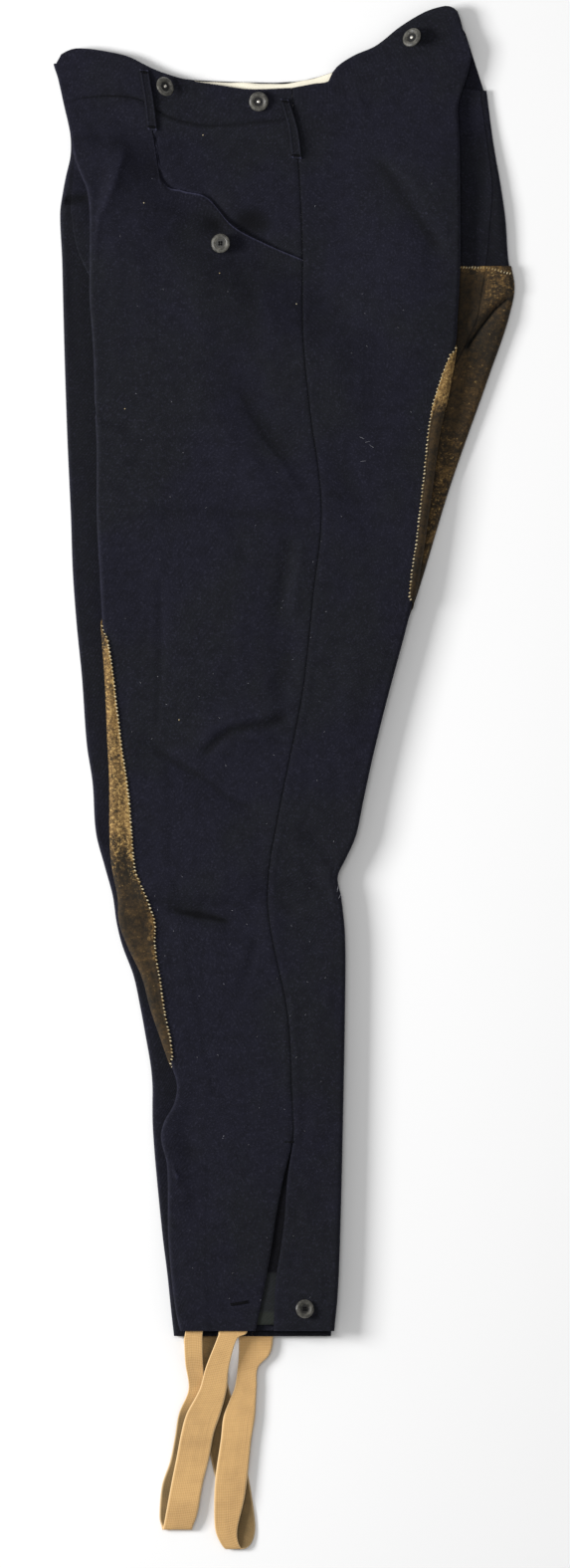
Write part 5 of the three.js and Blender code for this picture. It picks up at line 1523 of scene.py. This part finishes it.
@dataclass
class Buttons:
    """Dished horn buttons on short thread shanks, each standing where its solid does."""

    finishes: Finishes
    radius: float = 8.2
    thickness: float = 3.0
    hole_ring: float = 1.5
    leans: dict = field(default_factory=lambda: {
        "brace_button_front": Lean(Face.STUD, 36, (0.88, 0.42)),
        "brace_button_side": Lean(Face.STUD, 6, (-0.3, -0.9), 0.97),
        "brace_button_back": Lean(Face.STUD, 33, (-0.72, 0.62)),
        "pocket_button": Lean(Face.HOLES, 16, (-0.95, -0.3), 0.97),
        "calf_button": Lean(Face.HOLES, 16, (0.9, 0.35), 0.94),
    })

    def height(self, r: Array, turn: Array, face: Face) -> tuple[Array, Array]:
        """Top of the button and its painted shade: rim, step down to a dish, and four holes."""
        share = r / self.radius
        rim = self.thickness - 1.1 * ((share - 0.76) / 0.24) ** 2
        ring = 0.12 * bell(share - 0.79, 0.022)
        depth = 1.5 if face is Face.STUD else 1.1
        dish = self.thickness - depth + (depth + 0.1) * smooth((share - 0.46) / 0.14)
        top = np.minimum(dish, np.where(share > 0.54, rim - ring, dish))
        # Painted shade in the dish's middle, in the holes and in the groove inside the rim.
        grime = 1 - smooth((share - 0.42) / 0.12)
        if face is Face.STUD:
            return top, 1.1 * grime + 2 * ring
        places = np.pi * (0.25 + 0.5 * np.arange(4))
        x, y = r * np.cos(turn), r * np.sin(turn)
        away = [np.hypot(x - self.hole_ring * math.cos(a), y - self.hole_ring * math.sin(a))
                for a in places]
        holes = sum(1 - smooth((d - 0.6) / 0.3) for d in away)
        return top - 1.4 * holes, 0.82 * grime + holes + 2 * ring

    def seat(self, name: str, lean: Lean) -> tuple[Array, Array]:
        """Middle of the underside and axes of a button, from its solid and the cloth under it.

        The button leans from its solid's own plane, and its rim touches the cloth on the low side.

        Returns:
            The middle, and rows of two axes in the button's plane and its normal.
        """
        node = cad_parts[name]
        co = np.zeros(len(node.data.vertices) * 3)
        node.data.vertices.foreach_get("co", co)
        cloud = np.unique((co.reshape(-1, 3) / MILLIMETRE).round(3), axis=0)
        middle = (cloud.max(0) + cloud.min(0)) / 2
        square = np.linalg.svd(cloud - cloud.mean(0), full_matrices=False)[2][2]
        square *= np.sign(square[2])
        tilt = math.radians(lean.degrees)
        way = np.array([*lean.way, 0.0])
        normal = square * math.cos(tilt) + way / np.linalg.norm(way) * math.sin(tilt)
        side = np.cross(normal, [0.0, 1.0, 0.0])
        side /= np.linalg.norm(side)
        turn = np.linspace(0, 2 * np.pi, 24, endpoint=False)
        x, y = 0.93 * self.radius * np.cos(turn), 0.93 * self.radius * np.sin(turn)
        cloth = PILE.top_height(middle[0] + x + MID_ACROSS, MID_DOWN - middle[1] - y)
        needed = cloth + (normal[0] * x + normal[1] * y) / normal[2]
        base = np.array([*middle[:2], LAY_GAP + needed.max()])
        return base, np.stack([side, np.cross(normal, side), normal])

    def build_one(self, name: str, lean: Lean) -> None:
        """A button as rings of points from its middle over the rim to the middle below."""
        base, axes = self.seat(name, lean)
        r = np.concatenate([[0.02], np.linspace(0.15, self.radius * 0.98, 58), [self.radius]])
        turn = np.linspace(0, 2 * np.pi, 97)[:-1]
        rr, tt = np.meshgrid(r, turn, indexing="ij")
        top, grime = self.height(rr, tt, lean.face)
        under_r, under_t = np.meshgrid(self.radius * np.array([0.99, 0.93, 0.72, 0.003]), turn,
                                       indexing="ij")
        under_h = np.array([0.5, 0.22, 0, 0])[:, None] * self.thickness * np.ones_like(under_r)
        radii = np.concatenate([rr, under_r])
        turns = np.concatenate([tt, under_t])
        local = np.stack([radii * np.cos(turns), radii * np.sin(turns),
                          np.concatenate([top, under_h])], axis=-1)
        index = np.arange(radii.size).reshape(radii.shape)
        nxt = np.roll(index, -1, axis=1)
        faces = np.stack([index[:-1], index[1:], nxt[1:], nxt[:-1]], axis=-1).reshape(-1, 4)
        caps = [index[0, ::-1].tolist(), index[-1].tolist()]
        masks = {"grime": np.concatenate([grime, np.zeros_like(under_h)])}
        local *= lean.size
        piece = closed(f"{name}_horn", base + local @ axes, faces.tolist() + caps,
                       self.finishes.horn, masks)
        dress(piece, "horn", (name,))
        self.middle(name, lean.face, base, axes)

    def middle(self, name: str, face: Face, base: Array, axes: Array) -> None:
        """The rivet or the crossed thread in the middle, and the thread shank under the button."""
        side, other, normal = axes
        if face is Face.STUD:
            centres = (base + normal * (self.thickness - 1.35))[None]
            beads(f"{name}_rivet", centres, side, (1.6, 1.6, 1.0), self.finishes.rivet, "horn", 0)
        else:
            holes = self.hole_ring * 0.71 * np.array([side, -side, other, -other])
            centres = base + normal * (self.thickness - 0.85) + holes
            ways = np.array([other, other, side, side])
            beads(f"{name}_thread", centres, ways, (1.15, 0.4, 0.34), self.finishes.silk, "horn")
        rise = base[2] - float(PILE.top_height(base[:1] + MID_ACROSS, MID_DOWN - base[1:2])[0])
        shank = base - np.array([[0.0, 0.0, rise / 2]])
        beads(f"{name}_shank", shank, (0.0, 0.0, 1.0), (rise / 2 + 0.9, 1.4, 1.4),
              self.finishes.silk, "horn", 0)

    def build(self) -> None:
        """Makes all five buttons."""
        for name, lean in self.leans.items():
            self.build_one(name, lean)


@dataclass(frozen=True)
class Lint:
    """Pale fibres and specks caught on the wool."""

    finishes: Finishes
    specks: tuple = (
        (123, 105.8), (74.6, 162.4), (137, 220.6), (200, 245.2), (103.3, 588), (59, 332),
    )
    threads: tuple = (
        (254, 356, -25), (259, 359, 15), (262, 363, -35), (255, 375, 5), (234, 727, 80),
        (236, 733, 65),
    )
    count: int = 90

    def place(self, across: Array, down: Array, lift: float) -> Array:
        """Points just above the top sheet."""
        return at(across, down, PILE.top_height(across, down) + lift)

    def build(self) -> None:
        """Makes the specks, the short threads and the scattered fibres."""
        spots = np.array(self.specks, float)
        beads("lint_specks", self.place(*spots.T, 0.25), (0.8, 0.6, 0.0), (0.55, 0.42, 0.25),
              self.finishes.linen)
        across, down, degrees = np.array(self.threads, float).T
        self.scatter("lint_threads", across, down, 0.2, np.radians(degrees), (2.6, 0.14, 0.12))
        rng = np.random.default_rng(23)
        down = rng.uniform(130, 1070, self.count)
        low = FRONT_FOLDS.read("near", down) + 16
        high = BACK_FOLDS.read("near", down) - 10
        across = lerp(low, high, rng.uniform(0, 1, self.count))
        turn = rng.uniform(0, np.pi, self.count)
        self.scatter("lint_fibres", across, down, 0.15, turn, (0.7, 0.13, 0.1))

    def scatter(self, name: str, across: Array, down: Array, lift: float, turn: Array,
                size: tuple[float, float, float]) -> None:
        """Pale threads that lie flat on the top sheet, each turned by its angle in radians."""
        ways = np.stack([np.cos(turn), np.sin(turn), np.zeros_like(turn)], axis=-1)
        beads(name, self.place(across, down, lift), ways, size, self.finishes.lint)


@dataclass(frozen=True)
class Studio:
    """Camera square above the cloth, a pale floor and soft light from the front edge's side."""

    frame_width: float = 573
    frame_height: float = 1575
    pixel: float = 0.82
    left: float = 54
    top: float = 6
    distance: float = 6.0
    plane: float = 0.012

    def build(self) -> None:
        """Makes the camera, the floor, the lights and the world."""
        across = (self.frame_width / 2 - self.left) * self.pixel - MID_ACROSS
        down = MID_DOWN - (self.frame_height / 2 - self.top) * self.pixel
        lens = bpy.data.cameras.new("camera")
        lens.sensor_width = 36.0
        lens.lens = lens.sensor_width * self.distance / (self.frame_height * self.pixel * MILLIMETRE)
        camera = link("camera", lens)
        camera.location = (across * MILLIMETRE, down * MILLIMETRE, self.plane + self.distance)
        bpy.context.scene.camera = camera
        bpy.context.scene.view_settings.view_transform = "Standard"
        self.floor()
        self.light("key", (-2.7, 0.3, 1.65), 1.1, 118)
        self.light("top", (-0.3, 0.4, 3.0), 0.7, 14)
        world = bpy.data.worlds.new("studio")
        world.use_nodes = True
        back = world.node_tree.nodes["Background"]
        back.inputs["Color"].default_value = (1, 1, 1, 1)
        back.inputs["Strength"].default_value = 0.42
        bpy.context.scene.world = world

    def floor(self) -> None:
        """Plain pale floor just under the cloth."""
        mesh = bpy.data.meshes.new("floor")
        half, low = 4.0, -0.0004
        mesh.from_pydata([(-half, -half, low), (half, -half, low), (half, half, low),
                          (-half, half, low)], [], [(0, 1, 2, 3)])
        n = Nodes("floor")
        mesh.materials.append(n.finish(Base_Color=(0.9, 0.9, 0.9, 1), Roughness=0.9))
        link("floor", mesh)

    @staticmethod
    def light(name: str, place: tuple[float, float, float], size: float, power: float) -> None:
        """Square soft light that faces the middle of the garment."""
        lamp = bpy.data.lights.new(name, "AREA")
        lamp.size, lamp.energy = size, power
        light = link(name, lamp)
        light.location = place
        away = -np.array(place)
        yaw = math.atan2(away[1], away[0]) - math.pi / 2
        pitch = math.atan2(math.hypot(away[0], away[1]), -away[2])
        light.rotation_euler = (pitch, 0, yaw)


def main() -> None:
    """Builds the garment in order, from the studio to the smallest pieces."""
    logging.basicConfig(level=logging.INFO, format="%(name)s: %(message)s")
    Studio().build()
    finishes = Finishes()
    Legs(finishes).build()
    Strapping(finishes).build()
    Waist(finishes).build()
    Calf(finishes).build()
    Tapes(finishes).build()
    Buttons(finishes).build()
    Lint(finishes).build()


if __name__ == "__main__":
    main()
